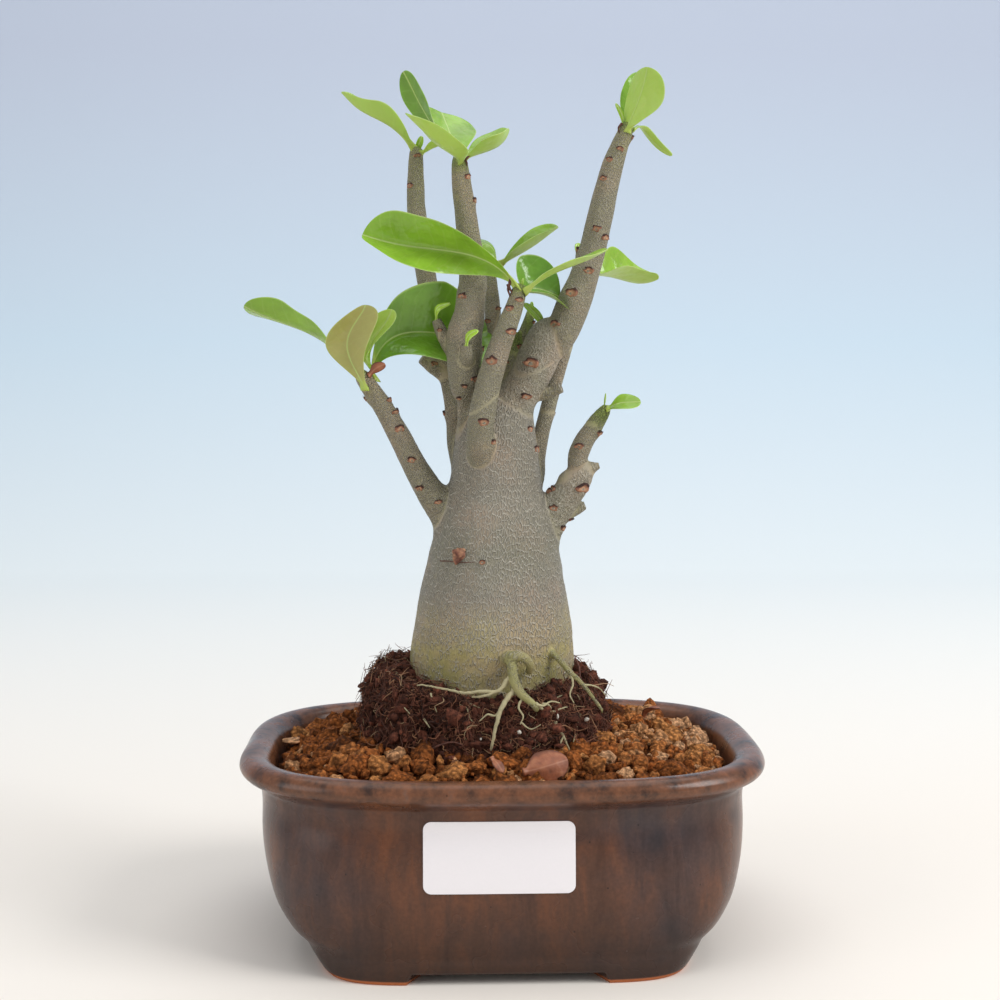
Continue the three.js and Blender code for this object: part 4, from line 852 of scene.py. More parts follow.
def dry_material():
    """Dried leaf: leathery red-brown, darker towards its rolled rim, with paler veins and a
    slight sheen."""
    material, tree, shader = new_material("dried_leaf")
    place = node(tree, "ShaderNodeTexCoord").outputs["Object"]
    across = node(tree, "ShaderNodeAttribute", attribute_name="across").outputs["Fac"]
    edge = node(tree, "ShaderNodeAttribute", attribute_name="edge").outputs["Fac"]
    away = node(tree, "ShaderNodeMath", {0: across}, operation="ABSOLUTE")
    cloud = node(tree, "ShaderNodeTexNoise", {"Vector": place, "Scale": 420.0, "Detail": 5.0})
    colour = node(tree, "ShaderNodeValToRGB", {"Fac": cloud}, stops=[
        (0.3, srgb("#784630")), (0.5, srgb("#96583b")), (0.72, srgb("#ab714e"))])
    rim = node(tree, "ShaderNodeMapRange", {"Value": edge, "From Min": 0.72, "From Max": 0.97,
                                            "To Max": 0.8})
    colour = blend_colour(tree, rim, colour.outputs["Color"], srgb("#4d281c"))
    rib = node(tree, "ShaderNodeMapRange", {"Value": away, "From Min": 0.1, "From Max": 0.28,
                                            "To Min": 0.4, "To Max": 0.0})
    colour = blend_colour(tree, rib, colour, srgb("#b98468"))
    tree.links.new(colour, shader.inputs["Base Color"])
    shader.inputs["Roughness"].default_value = 0.5
    bump = node(tree, "ShaderNodeBump", {"Height": cloud, "Strength": 0.6, "Distance": 0.0005})
    tree.links.new(bump.outputs["Normal"], shader.inputs["Normal"])
    return material


def backdrop_material(settings):
    """Matt paper sweep: warm and pale at the pot, hazy further back, grey-blue at the top. The
    colour follows the distance back plus the height, in metres."""
    material, tree, shader = new_material("matt_backdrop_paper")
    place = node(tree, "ShaderNodeSeparateXYZ", {
        "Vector": node(tree, "ShaderNodeTexCoord").outputs["Object"]})
    reach = node(tree, "ShaderNodeMath", {0: place.outputs["Y"], 1: place.outputs["Z"]}, operation="ADD")
    factor = node(tree, "ShaderNodeMapRange", {"Value": reach, "From Min": 0.0, "From Max": 1.7})
    colour = node(tree, "ShaderNodeValToRGB", {"Fac": factor}, stops=[
        (0.05, settings.floor[:]), (0.44, settings.haze[:]), (0.74, settings.wall[:]),
        (0.98, settings.top[:])])
    tree.links.new(colour.outputs["Color"], shader.inputs["Base Color"])
    shader.inputs["Roughness"].default_value = 0.9
    shader.inputs["Specular IOR Level"].default_value = 0.1
    return material


# ------------------------------------------------------------------ pot and label

def plan_radius(angle, half_width, half_depth, power):
    """Radius of a superellipse at an angle: (|cos a / w|^p + |sin a / d|^p)^(-1/p)."""
    c = np.abs(np.cos(angle)) / half_width
    s = np.abs(np.sin(angle)) / half_depth
    return (c ** power + s ** power) ** (-1.0 / power)


def pot_profile():
    """The pot's rows from the middle of its underside, round the outside and the lip, to the
    middle of its floor: half width, half depth, height at a foot, squareness, height between."""
    outer = [(w, d, z, p, z) for w, d, z, p in POT_OUTER_ROWS]
    inner = [(w, d, z, p, z) for w, d, z, p in POT_INNER_ROWS]
    rows = list(reversed(POT_FOOT_ROWS)) + list(reversed(outer)) + list(reversed(inner))
    return spline(rows, (len(rows) - 1) * POT_ROWS_BETWEEN + 1)


def make_pot_body():
    """Each profile row is a superellipse; a row's height is its foot height under the four
    corners, eased to its other height between them."""
    rows = pot_profile()
    angle = np.linspace(0, 2 * math.pi, POT_SEGMENTS, endpoint=False)
    width, depth, foot_z, power, gap_z = (rows[:, i, None] for i in range(5))
    radius = plan_radius(angle[None, :], width, depth, power)
    sole = plan_radius(angle, *POT_FOOT_ROWS[3][:2], POT_FOOT_ROWS[3][3])
    foot = (ease((np.abs(np.cos(angle)) * sole - FOOT_INNER_X) / 1.4 + 0.5)
            * ease((np.abs(np.sin(angle)) * sole - FOOT_INNER_Y) / 1.4 + 0.5))
    height = gap_z + (foot_z - gap_z) * foot[None, :]
    points = np.stack([radius * np.cos(angle), radius * np.sin(angle),
                       np.broadcast_to(height, radius.shape)], axis=-1)
    # The hand-pressed wall is never quite true.
    swell = 0.16 * noise(points / 17.0, 3) + 0.05 * noise(points / 5.0, 4)
    points[..., :2] *= 1 + (swell * ease((points[..., 2] - 3) / 6))[..., None] / 50
    return closed_tubes(points[None])


def cut_drain_holes(pot):
    """Bores the two drain holes through the floor."""
    for side in (-1, 1):
        bpy.ops.mesh.primitive_cylinder_add(
            vertices=48, radius=DRAIN_RADIUS * MM, depth=12 * MM,
            location=(side * DRAIN_X * MM, 0, 5 * MM))
        drill = bpy.context.object
        cut = pot.modifiers.new("drain", "BOOLEAN")
        cut.object = drill
        cut.solver = "EXACT"
        bpy.context.view_layer.update()
        bored = bpy.data.meshes.new_from_object(pot.evaluated_get(bpy.context.evaluated_depsgraph_get()))
        pot.modifiers.clear()
        pot.data = bored
        bpy.data.objects.remove(drill)


def pot_front(x, z):
    """The front face's y at a place across the pot and a height."""
    rows = np.array(POT_OUTER_ROWS)[::-1]
    width, depth, power = (np.interp(z, rows[:, 2], rows[:, i]) for i in (0, 1, 3))
    return -depth * (1 - np.abs(x / width) ** power) ** (1 / power)


def make_label_sheet():
    """A rounded rectangle: its half width at height v is w - c + sqrt(c^2 - past^2), where past
    is how far v reaches into a corner of radius c. Two layers, joined round the edge."""
    half = np.array(LABEL_SIZE) / 2
    rows, columns = 49, 41
    v = np.sin(np.linspace(-math.pi / 2, math.pi / 2, rows))[:, None] * half[1]
    past = np.maximum(0, np.abs(v) - (half[1] - LABEL_CORNER))
    reach = half[0] - LABEL_CORNER + np.sqrt(np.maximum(LABEL_CORNER ** 2 - past ** 2, 0.0))
    u = np.linspace(-1, 1, columns)[None, :] * reach
    x = LABEL_CENTRE[0] + u
    z = LABEL_CENTRE[1] + np.broadcast_to(v, u.shape)
    wall = pot_front(x, z)
    near = np.stack([x, wall - 0.05 - LABEL_THICKNESS, z], axis=-1)
    far = np.stack([x, wall - 0.05, z], axis=-1)
    rings = np.concatenate([near, far[:, ::-1]], axis=1)
    return closed_tubes(rings[None])


# ------------------------------------------------------------------ granules and peat

def gravel_top(x, y):
    """Height of the granule bed: level at the wall, heaped up towards the middle."""
    power = GRAVEL_SQUARENESS
    out = (np.abs(x / GRAVEL_EDGE[0]) ** power + np.abs(y / GRAVEL_EDGE[1]) ** power) ** (1 / power)
    heap = GRAVEL_HEAP * ease((1.02 - out) / 0.36)
    back = GRAVEL_BACK_RISE * ease(y / 52) * ease(out)
    return GRAVEL_WALL_Z + heap + back + 0.5 * noise(np.stack([x / 9, y / 9, x * 0], axis=-1), 11), out


def peat_surface(u, v):
    """The peat ball's skin: u is the turn round it, v runs from its foot (0) to its top (1). A
    superellipse whose size shrinks with v, banked up at the sides, the back and the left."""
    table = np.array([(0.0, 1.02, 40.0), (0.25, 1.04, 47.0), (0.42, 1.02, 53.0), (0.6, 0.98, 58.0),
                      (0.76, 0.88, 62.5), (0.88, 0.76, 64.7), (1.0, 0.5, 65.6)])
    factor = np.interp(v, table[:, 0], table[:, 1])
    z = np.interp(v, table[:, 0], table[:, 2])
    radius = plan_radius(u, *PEAT_HALF, PEAT_SQUARENESS) * factor
    x, y = radius * np.cos(u), radius * np.sin(u)
    height = ease((z - PEAT_FLAT_Z) / (PEAT_FRONT_Z - PEAT_FLAT_Z))
    away = (x / PEAT_HALF[0]) ** 2 + (np.maximum(0, y) / PEAT_HALF[1]) ** 2
    left = np.maximum(0, -x / PEAT_HALF[0]) ** 2
    z = z + height * (PEAT_SIDE_RISE * away + PEAT_LEFT_RISE * left)
    return np.stack([x + PEAT_CENTRE_X, y, z], axis=-1)


def peat_lumps(points):
    """How far the peat's crumbs stand out: fractal noise of 5 mm lumps down to 0.6 mm crumbs, and
    one hollow where the left bank has slipped."""
    hollow = np.exp(-(((points - np.array(CAVERN)) / np.array([4.2, 5.0, 3.4])) ** 2).sum(axis=-1))
    return 1.3 * fractal(points / 5.0, 4, 21) + 0.3 * noise(points / 0.9, 29) - 4.5 * hollow


def peat_frame(u, v):
    """A place on the peat and the directions out of it, round the ball and up the slope."""
    small = 1e-3
    here = peat_surface(u, v)
    round_it = unit(peat_surface(u + small, v) - here)
    up_it = unit(peat_surface(u, v + small) - here)
    return here, unit(np.cross(round_it, up_it)), round_it, up_it


def make_peat_body():
    """The peat's skin pushed out along its own direction by its lumps."""
    u = np.linspace(0, 2 * math.pi, 300, endpoint=False)[None, :]
    v = np.linspace(0, 1, 110)[:, None]
    here, out, _, _ = peat_frame(*np.broadcast_arrays(u, v))
    return closed_tubes((here + out * peat_lumps(here)[..., None])[None])


def make_peat_crumbs(count, seed):
    """Crumbs half sunk in the peat's skin, each a rough lump, and a tone for each; the last few
    are beads of perlite."""
    random = np.random.default_rng(seed)
    u = random.uniform(0, 2 * math.pi, count)
    v = random.uniform(0.3, 1.0, count)
    here, out, _, _ = peat_frame(u, v)
    size = np.clip(random.gamma(1.9, 0.27, count), 0.2, 1.7)
    centres = here + out * (peat_lumps(here) + 0.25 * size)[:, None]
    tone = np.clip(random.beta(1.6, 3.2, count), 0, 0.8)
    beads = np.array(PERLITE, float)
    centres = np.vstack([centres, beads])
    size = np.concatenate([size, np.full(len(beads), 0.55)])
    tone = np.concatenate([tone, np.ones(len(beads))])
    sizes = size[:, None] * random.uniform(0.4, 1.5, (len(size), 3))
    corners, quads, fans = blobs(centres, sizes, 4, 7, 0.4, 31)
    return corners, quads, fans, np.repeat(tone, len(corners) // len(size))


def make_rootlets(table, sides=7):
    """Named rootlets or twigs: each a tube on a curve through its points, whose radius falls to a
    third at its end, with small knots."""
    groups = []
    for number, (radius, *points) in enumerate(table):
        path = spline(points, 6 * len(points))
        t = np.linspace(0, 1, len(path))
        path = path + 0.22 * radius * np.stack(
            [noise(path * 1.1 + 9 * k, 97 + number) for k in range(3)], axis=-1)
        thick = radius * (1 - 0.65 * t) * (1 + 0.18 * noise(path * 1.7, 98))
        groups.append(closed_tubes(tube_rings(path, thick, sides, np.array([0.31, -0.9, 0.3]))[None]))
    return merged(groups)


def make_fibres(count, seed):
    """Fibres on the peat: each starts at a random place on the skin and wanders over it, rising a
    little. Its path is start + length (t along + bends) and its radius tapers to both ends."""
    random = np.random.default_rng(seed)
    steps = 7
    u = random.uniform(0, 2 * math.pi, count)
    v = random.uniform(0.2, 0.98, count) ** 0.9
    here, out, round_it, up_it = peat_frame(u, v)
    here = here + out * (peat_lumps(here) + 0.15)[:, None]
    angle = random.uniform(0, 2 * math.pi, count)[:, None]
    along = unit(round_it * np.cos(angle) + up_it * np.sin(angle)
                 + out * random.uniform(-0.1, 0.7, (count, 1)))
    across = np.cross(out, along)
    length = random.gamma(2.2, 1.1, count) + 0.8
    t = np.linspace(0, 1, steps)[None, :, None]
    bend = random.normal(0, 0.3, (count, 1, 1)) * np.sin(math.pi * t) * across[:, None]
    wiggle = random.normal(0, 0.17, (count, 1, 1)) * np.sin(
        2 * math.pi * t * random.uniform(0.8, 1.6, (count, 1, 1))) * across[:, None]
    sag = -0.35 * t ** 2 * out[:, None] * random.uniform(0, 1, (count, 1, 1))
    path = here[:, None] + length[:, None, None] * (along[:, None] * t + bend + wiggle + sag)
    thick = random.gamma(2.0, 0.02, count) + 0.06
    tone = np.clip(random.beta(1.0, 1.9, count), 0, 1)
    radius = thick[:, None] * (0.25 + 0.75 * np.sin(math.pi * (0.12 + 0.8 * t[..., 0])))
    forward = unit(out + 0.3 * across)[:, None]
    points = tube_rings(path, radius, 3, forward)
    corners, quads, fans = closed_tubes(points)
    return corners, quads, fans, np.repeat(tone, len(corners) // count)


def blobs(centres, sizes, rows, columns, roughness, seed):
    """Crumbs: balls on a grid of latitude and longitude, cut flat by ten planes each, so that the
    reach in direction d is the least of distance / (normal . d), then roughened by fractal noise
    that differs from crumb to crumb and stretched to their sizes."""
    count = len(centres)
    random = np.random.default_rng(seed)
    polar = np.linspace(0, math.pi, rows + 2)[1:-1][:, None]
    turn = np.linspace(0, 2 * math.pi, columns, endpoint=False)[None, :]
    ball = np.stack([np.sin(polar) * np.cos(turn), np.sin(polar) * np.sin(turn),
                     np.cos(polar) + turn * 0], axis=-1)
    planes = unit(random.normal(0, 1, (count, 10, 3)))
    distance = random.uniform(0.72, 1.0, (count, 10))
    facing = np.einsum("cpk,rsk->crsp", planes, ball)
    reach = np.minimum(1.2, (distance[:, None, None] / np.maximum(facing, 0.2)).min(axis=-1))
    shift = np.arange(count)[:, None, None, None] * 7.31
    reach = reach * (1 + roughness * fractal(ball[None] * 1.9 + shift, 2, seed))
    points = centres[:, None, None] + ball[None] * reach[..., None] * sizes[:, None, None]
    return closed_tubes(points[:, ::-1])


def scatter_granules(limit, mean, seed):
    """Places for granules, roughly largest first, no two nearer than 0.8 of their radii's sum."""
    random = np.random.default_rng(seed)
    radii = np.clip(random.gamma(8.0, mean / 16.0, 9000), 1.0, 3.9)
    x = random.uniform(-GRAVEL_EDGE[0], GRAVEL_EDGE[0], 9000)
    y = random.uniform(-GRAVEL_EDGE[1], GRAVEL_EDGE[1], 9000)
    z, out = gravel_top(x, y)
    peat_x, peat_y = (x - PEAT_CENTRE_X) / (PEAT_HALF[0] + 0.5), y / (PEAT_HALF[1] + 0.5)
    fits = (out + radii * 0.9 / 50 < 1.0) & (peat_x ** 2 + peat_y ** 2 > 0.96)
    order = [i for i in np.argsort(-radii + random.normal(0, 0.7, 9000)) if fits[i]]
    centres = np.zeros((0, 4))
    for i in order:
        if len(centres) >= limit:
            break
        here = np.array([x[i], y[i], z[i] - radii[i] * 0.25, radii[i]])
        gap = np.linalg.norm(centres[:, :2] - here[:2], axis=1) if len(centres) else np.array([99.0])
        reach = 0.8 * (centres[:, 3] + radii[i]) if len(centres) else np.array([0.0])
        if np.all(gap > reach):
            centres = np.vstack([centres, here])
    return centres, random


def make_granules(limit, mean, small):
    """The visible layer of granules, each a lump of its own, with broken crumbs in the gaps, and
    the tone of each, paler to the right."""
    centres, random = scatter_granules(limit, mean, 5)
    count = len(centres)
    sizes = centres[:, 3:4] * random.uniform(0.78, 1.22, (count, 3))
    sizes[:, 2] *= 0.9
    grains = blobs(centres[:, :3], sizes, 7, 11, 0.38, 41)
    tone = np.clip(random.normal(0.5, 0.27, count) + 0.25 * ease((centres[:, 0] - 18) / 30), 0, 1)
    x = random.uniform(-GRAVEL_EDGE[0], GRAVEL_EDGE[0], small)
    y = random.uniform(-GRAVEL_EDGE[1], GRAVEL_EDGE[1], small)
    z, out = gravel_top(x, y)
    inside = (out < 0.97) & (((x - PEAT_CENTRE_X) / PEAT_HALF[0]) ** 2 + (y / PEAT_HALF[1]) ** 2 > 1.0)
    radius = random.uniform(0.45, 1.15, small)
    places = np.stack([x, y, z + random.uniform(-0.6, 0.7, small)], axis=-1)[inside]
    crumbs = blobs(places, radius[inside, None] * random.uniform(0.8, 1.2, (len(places), 3)), 5, 7, 0.3, 43)
    crumb_tone = np.clip(random.normal(0.5, 0.25, len(places)) + 0.2 * (places[:, 0] > 30), 0, 1)
    tones = np.concatenate([np.repeat(tone, len(grains[0]) // count),
                            np.repeat(crumb_tone, len(crumbs[0]) // len(places))])
    return (*merged([grains, crumbs]), tones)


def make_filling():
    """The hidden granules below: a lumpy plug from the pot's floor up to just under the top."""
    angle = np.linspace(0, 2 * math.pi, 220, endpoint=False)[None, :]
    wall = np.array([(33.0, 29.0, 8.4, 4.0), (50.0, 40.2, 12.4, 3.8), (54.0, 42.0, 18.0, 3.6),
                     (56.2, 42.6, 30.0, 3.3), (58.2, 43.0, 43.4, GRAVEL_SQUARENESS)])
    rows = [plan_radius(angle, w, d, p) for w, d, z, p in wall]
    heights = [np.full_like(angle, z) for w, d, z, p in wall]
    for part in np.linspace(0.97, 0.5, 30):
        radius = plan_radius(angle, 58.2 * part, 43.0 * part, GRAVEL_SQUARENESS)
        top, _ = gravel_top(radius * np.cos(angle), radius * np.sin(angle))
        rows.append(radius)
        heights.append(top - 1.9)
    radius, z = np.vstack(rows), np.vstack(heights)
    points = np.stack([radius * np.cos(angle), radius * np.sin(angle), z], axis=-1)
    upper = (np.arange(len(rows)) >= len(wall))[:, None]
    points[..., 2] += np.where(upper, 0.9 * fractal(points / 2.6, 3, 51), 0.0)
    return closed_tubes(points[None])


# ------------------------------------------------------------------ trunk and limbs

def limb_line(points, step=1.2):
    """A limb's centre line and radius, sampled about every step."""
    p = np.asarray(points, float)
    length = np.linalg.norm(np.diff(p[:, :3], axis=0), axis=1).sum()
    return spline(p, max(6, int(length / step)))


def limb_distance(points, line):
    """Distance from each point to a limb's skin, the direction away from it, the nearest place
    along it (from 0 to 1) and the point's offset from the centre line."""
    a, b = line[:-1], line[1:]
    span = b[:, :3] - a[:, :3]
    t = np.einsum("nmk,mk->nm", points[:, None] - a[None, :, :3], span) / (span ** 2).sum(1)
    t = np.clip(t, 0, 1)
    nearest = a[None, :, :3] + t[..., None] * span
    away = points[:, None] - nearest
    distance = np.linalg.norm(away, axis=-1) - (a[:, 3] + t * (b[:, 3] - a[:, 3]))
    best = distance.argmin(1)
    row = np.arange(len(points))
    return distance[row, best], unit(away[row, best]), (best + t[row, best]) / len(a), away[row, best]


def grown_lines():
    """All limbs with the width of their soft joins, trunk first."""
    lines = [("trunk", 0.0, limb_line(TRUNK))]
    lines += [(name, join, limb_line(points)) for name, join, points in LIMBS]
    lines += [("stump", 1.0, limb_line(points, 0.8)) for points in STUMPS]
    lines += [("root", 1.2, limb_line(points, 0.8)) for points in SURFACE_ROOTS]
    return lines


def rough_body(voxel):
    """The limbs as plain tubes, made one skin of even faces by a voxel remesh."""
    corners, faces, start = [], [], 0
    for _, _, line in grown_lines():
        sides = 40 if line[:, 3].max() > 10 else 16
        rings = tube_rings(line[:, :3], line[:, 3], sides)
        verts, quads, fans = closed_tubes(rings[None])
        corners.append(verts)
        faces += [quads + start, fans + start]
        start += len(verts)
    piece = new_object("trunk_and_limbs", np.vstack(corners), faces)
    remesh = piece.modifiers.new("skin", "REMESH")
    remesh.mode = "VOXEL"
    remesh.voxel_size = voxel
    bpy.context.view_layer.update()
    skin = bpy.data.meshes.new_from_object(piece.evaluated_get(bpy.context.evaluated_depsgraph_get()))
    piece.modifiers.clear()
    piece.data = skin
    return piece


def soft_union(points, lines):
    """Distance to the joined limbs. Two limbs a and b with a soft join k give
    mix(b, a, h) - k h (1 - h), where h = (b - a) / 2k + 1/2, held between 0 and 1. Also gives the
    way out, the number of the nearest limb, the place along it and the offset from its line, how
    near the crease between two limbs is, how hard that crease is, from 0 to 1, and how near the
    place is where another limb becomes the nearest."""
    total, way, place, offset = limb_distance(points, lines[0][2])
    owner = np.zeros(len(points), int)
    crease = np.full(len(points), 99.0)
    hard = np.zeros(len(points))
    split = np.full(len(points), 99.0)
    for number, (name, join, line) in enumerate(lines[1:], 1):
        margin = line[:, 3].max() + join + 4
        low, high = line[:, :3].min(0) - margin, line[:, :3].max(0) + margin
        near = np.nonzero(np.all((points > low) & (points < high), axis=1))[0]
        if not len(near):
            continue
        d, w, t, o = limb_distance(points[near], line)
        old = total[near]
        h = np.clip(0.5 + 0.5 * (old - d) / join, 0, 1)
        total[near] = old * (1 - h) + d * h - join * h * (1 - h)
        way[near] = way[near] * (1 - h)[:, None] + w * h[:, None]
        gap = np.abs(old) + np.abs(d)
        nearer = gap < crease[near]
        crease[near[nearer]] = gap[nearer]
        hard[near[nearer]] = CREASES.get(name, 0.0)
        split[near] = np.minimum(split[near], np.abs(old - d))
        mine = d < old
        taken = near[mine]
        owner[taken] = number
        place[taken] = t[mine]
        offset[taken] = o[mine]
    return total, way, owner, place, offset, crease, hard, split


def bark_relief(points, owner, crease, hard):
    """Slow swellings of the trunk, upright wrinkles about 2 mm apart, and a raised corky ring
    where a limb comes out of another without a soft join."""
    slow = 0.25 * noise(points / 9.0, 61) + 0.12 * noise(points / 4.0, 62)
    bent = points + 0.6 * noise(points / 2.5, 63)[:, None]
    wrinkle = 1 - 2 * np.abs(noise(bent * np.array([0.8, 0.8, 0.25]), 64))
    trunk = np.where(owner == 0, 1.0, 0.45)
    ring = hard * np.exp(-(crease / 0.9) ** 2) * (0.3 + 0.25 * noise(points / 0.9, 65))
    return slow * trunk + 0.09 * wrinkle * trunk + ring


def make_grown_body(voxel):
    """The tree's one skin: the rough body drawn onto the soft union of its limbs, with relief and
    a low cushion under each leaf scar. Gives the object and what is known of each corner."""
    piece = rough_body(voxel)
    mesh = piece.data
    corners = np.empty(len(mesh.vertices) * 3)
    mesh.vertices.foreach_get("co", corners)
    corners = corners.reshape(-1, 3) / MM
    lines = grown_lines()
    for _ in range(3):
        total, way, *_ = soft_union(corners, lines)
        corners -= way * (total / np.maximum((way ** 2).sum(1), 0.25))[:, None]
    _, way, owner, place, offset, crease, hard, split = soft_union(corners, lines)
    normals = unit(way)
    corners += normals * bark_relief(corners, owner, crease, hard)[:, None]
    scars = scar_places(corners, normals, owner, place, lines)
    for i, width in scars:
        below = corners[i] - np.array([0.0, 0.0, 0.4 * width])
        reach = ((corners - below) ** 2).sum(1) / (0.8 * width) ** 2
        near = reach < 6
        corners[near] += normals[near] * (0.26 * width * np.exp(-reach[near]))[:, None]
    mesh.vertices.foreach_set("co", (corners * MM).ravel())
    mesh.update()
    mesh.shade_smooth()
    known = {"corners": corners, "normals": normals, "owner": owner, "place": place,
             "offset": offset, "crease": crease, "hard": hard, "split": split, "lines": lines}
    return piece, known, scars


def grain_space(known):
    """Coordinates that follow each limb, in millimetres: the way round it from its front and the
    distance along its axis. Also gives how near each corner is to the place behind where they
    meet."""
    grain = np.zeros_like(known["corners"])
    for number, (_, _, line) in enumerate(known["lines"]):
        mine = known["owner"] == number
        axis = unit(line[-1, :3] - line[0, :3])
        grain[mine, 1] = (known["corners"][mine] - line[0, :3]) @ axis + 37.0 * number
    turn = np.arctan2(known["offset"][:, 0], -known["offset"][:, 1])
    radius = np.hypot(known["offset"][:, 0], known["offset"][:, 1])
    grain[:, 0] = turn * radius + 50.0 * known["owner"]
    return grain, (math.pi - np.abs(turn)) * radius


def paint_grown_body(piece, known):
    """Attributes for the bark: shoot, green, stain, crown, scrape, seam and the grain
    coordinates."""
    corners, owner, place = known["corners"], known["owner"], known["place"]
    names = np.array([name for name, _, _ in known["lines"]])[owner]
    lengths = np.array([np.linalg.norm(np.diff(line[:, :3], axis=0), axis=1).sum()
                        for _, _, line in known["lines"]])[owner]
    shoot = np.where(owner == 0, 0.0, 1.0)
    shoot[np.isin(names, ("right_stump", "low_right_stump"))] = 0.5
    root = names == "root"
    leafy = (owner > 0) & ~root & ~np.isin(names, ("stump", "right_stump", "low_right_stump"))
    from_tip = (1 - place) * lengths
    crown = np.where(leafy, ease((8.5 - from_tip) / 5.0), 0.0) * 0.85
    upper = np.where(leafy, ease((place - 0.55) / 0.45), 0.0)
    green = np.clip(0.35 * shoot + 0.45 * upper + 0.8 * root, 0, 1)
    blotch = 0.55 + 0.45 * noise(corners / 1.6, 72)
    stain = known["hard"] * np.exp(-(known["crease"] / 0.6) ** 2) * blotch
    mesh = piece.data
    add_attribute(mesh, "shoot", shoot)
    add_attribute(mesh, "green", green)
    add_attribute(mesh, "stain", np.where(root, 0.0, stain))
    add_attribute(mesh, "crown", crown)
    add_attribute(mesh, "scrape", ease((80.0 - corners[:, 2]) / 5.0))
    grain, behind = grain_space(known)
    add_attribute(mesh, "grain", grain)
    add_attribute(mesh, "seam", np.where(behind < 0.6, 1.0, 1 - ease(known["split"] / 0.6 - 0.3)))


# Corky scars seen from the front: x, y, z and width.
FRONT_SCARS = (
    (-10.5, -11.1, 166.4, 1.8), (-1, 4.2, 163.7, 1.4), (-2.9, 4.2, 160, 1.4),
    (1.6, -15.9, 162.7, 1.9), (1.6, -15.9, 157.2, 2.1), (-2.7, -16.2, 149.6, 2.3),
    (-5.2, -14.9, 134.2, 2.2), (-7.2, -10.7, 145.1, 1.7), (-9.7, -11, 143, 1.3),
    (-11.5, -9.1, 139.7, 1.2), (18.2, -6.5, 167.2, 2.8), (13.9, -6.3, 159.5, 2.2),
    (7.9, -6, 149.4, 3.0), (6.1, -6.9, 140.4, 2.0), (4.6, 0, 153.7, 1.6), (8, 4.4, 160.1, 1.2),
    (3.8, -15.6, 165, 1.5), (-16.1, -6.4, 157.6, 1.2), (-18, 3.2, 149, 1.5),
    (7.7, -5.6, 132.3, 1.9), (8.6, -3.8, 126.8, 2.2), (24.8, -4.6, 131.5, 1.8),
    (20.3, -5.2, 127.6, 1.9), (20.3, -5.4, 117.2, 3.0), (14.2, -3.7, 116, 1.8),
    (13.5, -5.4, 111.4, 1.9), (18.2, -2.4, 109, 1.6), (15.5, -4, 106, 2.0),
    (-5.3, -16.4, 98.6, 1.4), (-26.5, -6.8, 132.4, 2.0), (-23.7, -6.1, 124.1, 2.0),
    (-9.1, -9.4, 196.3, 1.5), (-7.6, -8.7, 190.6, 1.5), (-23.7, 10, 196.4, 1.6),
    (-21.8, 10.6, 204.1, 1.3), (26.2, -6.5, 181.5, 1.8), (24.3, -7, 183.7, 1.7),
    (26.3, -7, 196.4, 1.6), (29.8, -7.7, 203.9, 1.5), (27.5, -7.2, 201, 1.5),
    (21.8, -7, 173, 2.1), (-21.4, -4.9, 116.7, 1.7), (-16.8, -5.2, 113.1, 1.6),
    (-27.8, -6.6, 136.3, 1.7), (-29.6, -6.7, 139.6, 1.6),
)
# How strong the corky crease is where a limb comes out of another; elsewhere there is none.
CREASES = {"middle": 0.5, "low_right": 0.7, "front_left": 0.5, "right": 0.3}
SCAR_TURN = math.radians(137.5)
SCAR_PITCH = 6.5


def scar_places(corners, normals, owner, place, lines):
    """Places for leaf scars: the front ones by the nearest skin, and on the far side a spiral up
    each limb, 137.5 degrees and 6.5 mm from one to the next."""
    found = []
    facing = np.nonzero(normals[:, 1] < -0.2)[0]
    for *spot, width in FRONT_SCARS:
        reach = ((corners[facing] - spot) ** 2).sum(1)
        found.append((facing[reach.argmin()], width))
    for number, (name, _, line) in enumerate(lines):
        if name in ("root", "stump", "trunk"):
            continue
        mine = np.nonzero(owner == number)[0]
        if not len(mine):
            continue
        length = np.linalg.norm(np.diff(line[:, :3], axis=0), axis=1).sum()
        for k in range(1, int(length / SCAR_PITCH)):
            angle = k * SCAR_TURN + number
            way = np.array([math.cos(angle), math.sin(angle), 0.0])
            if way[1] < -0.1:
                continue
            fit = np.abs(place[mine] * length - k * SCAR_PITCH) * 0.5 - normals[mine] @ way * 3
            found.append((mine[fit.argmin()], 1.6 + 0.3 * math.sin(k * 2.3)))
    return found


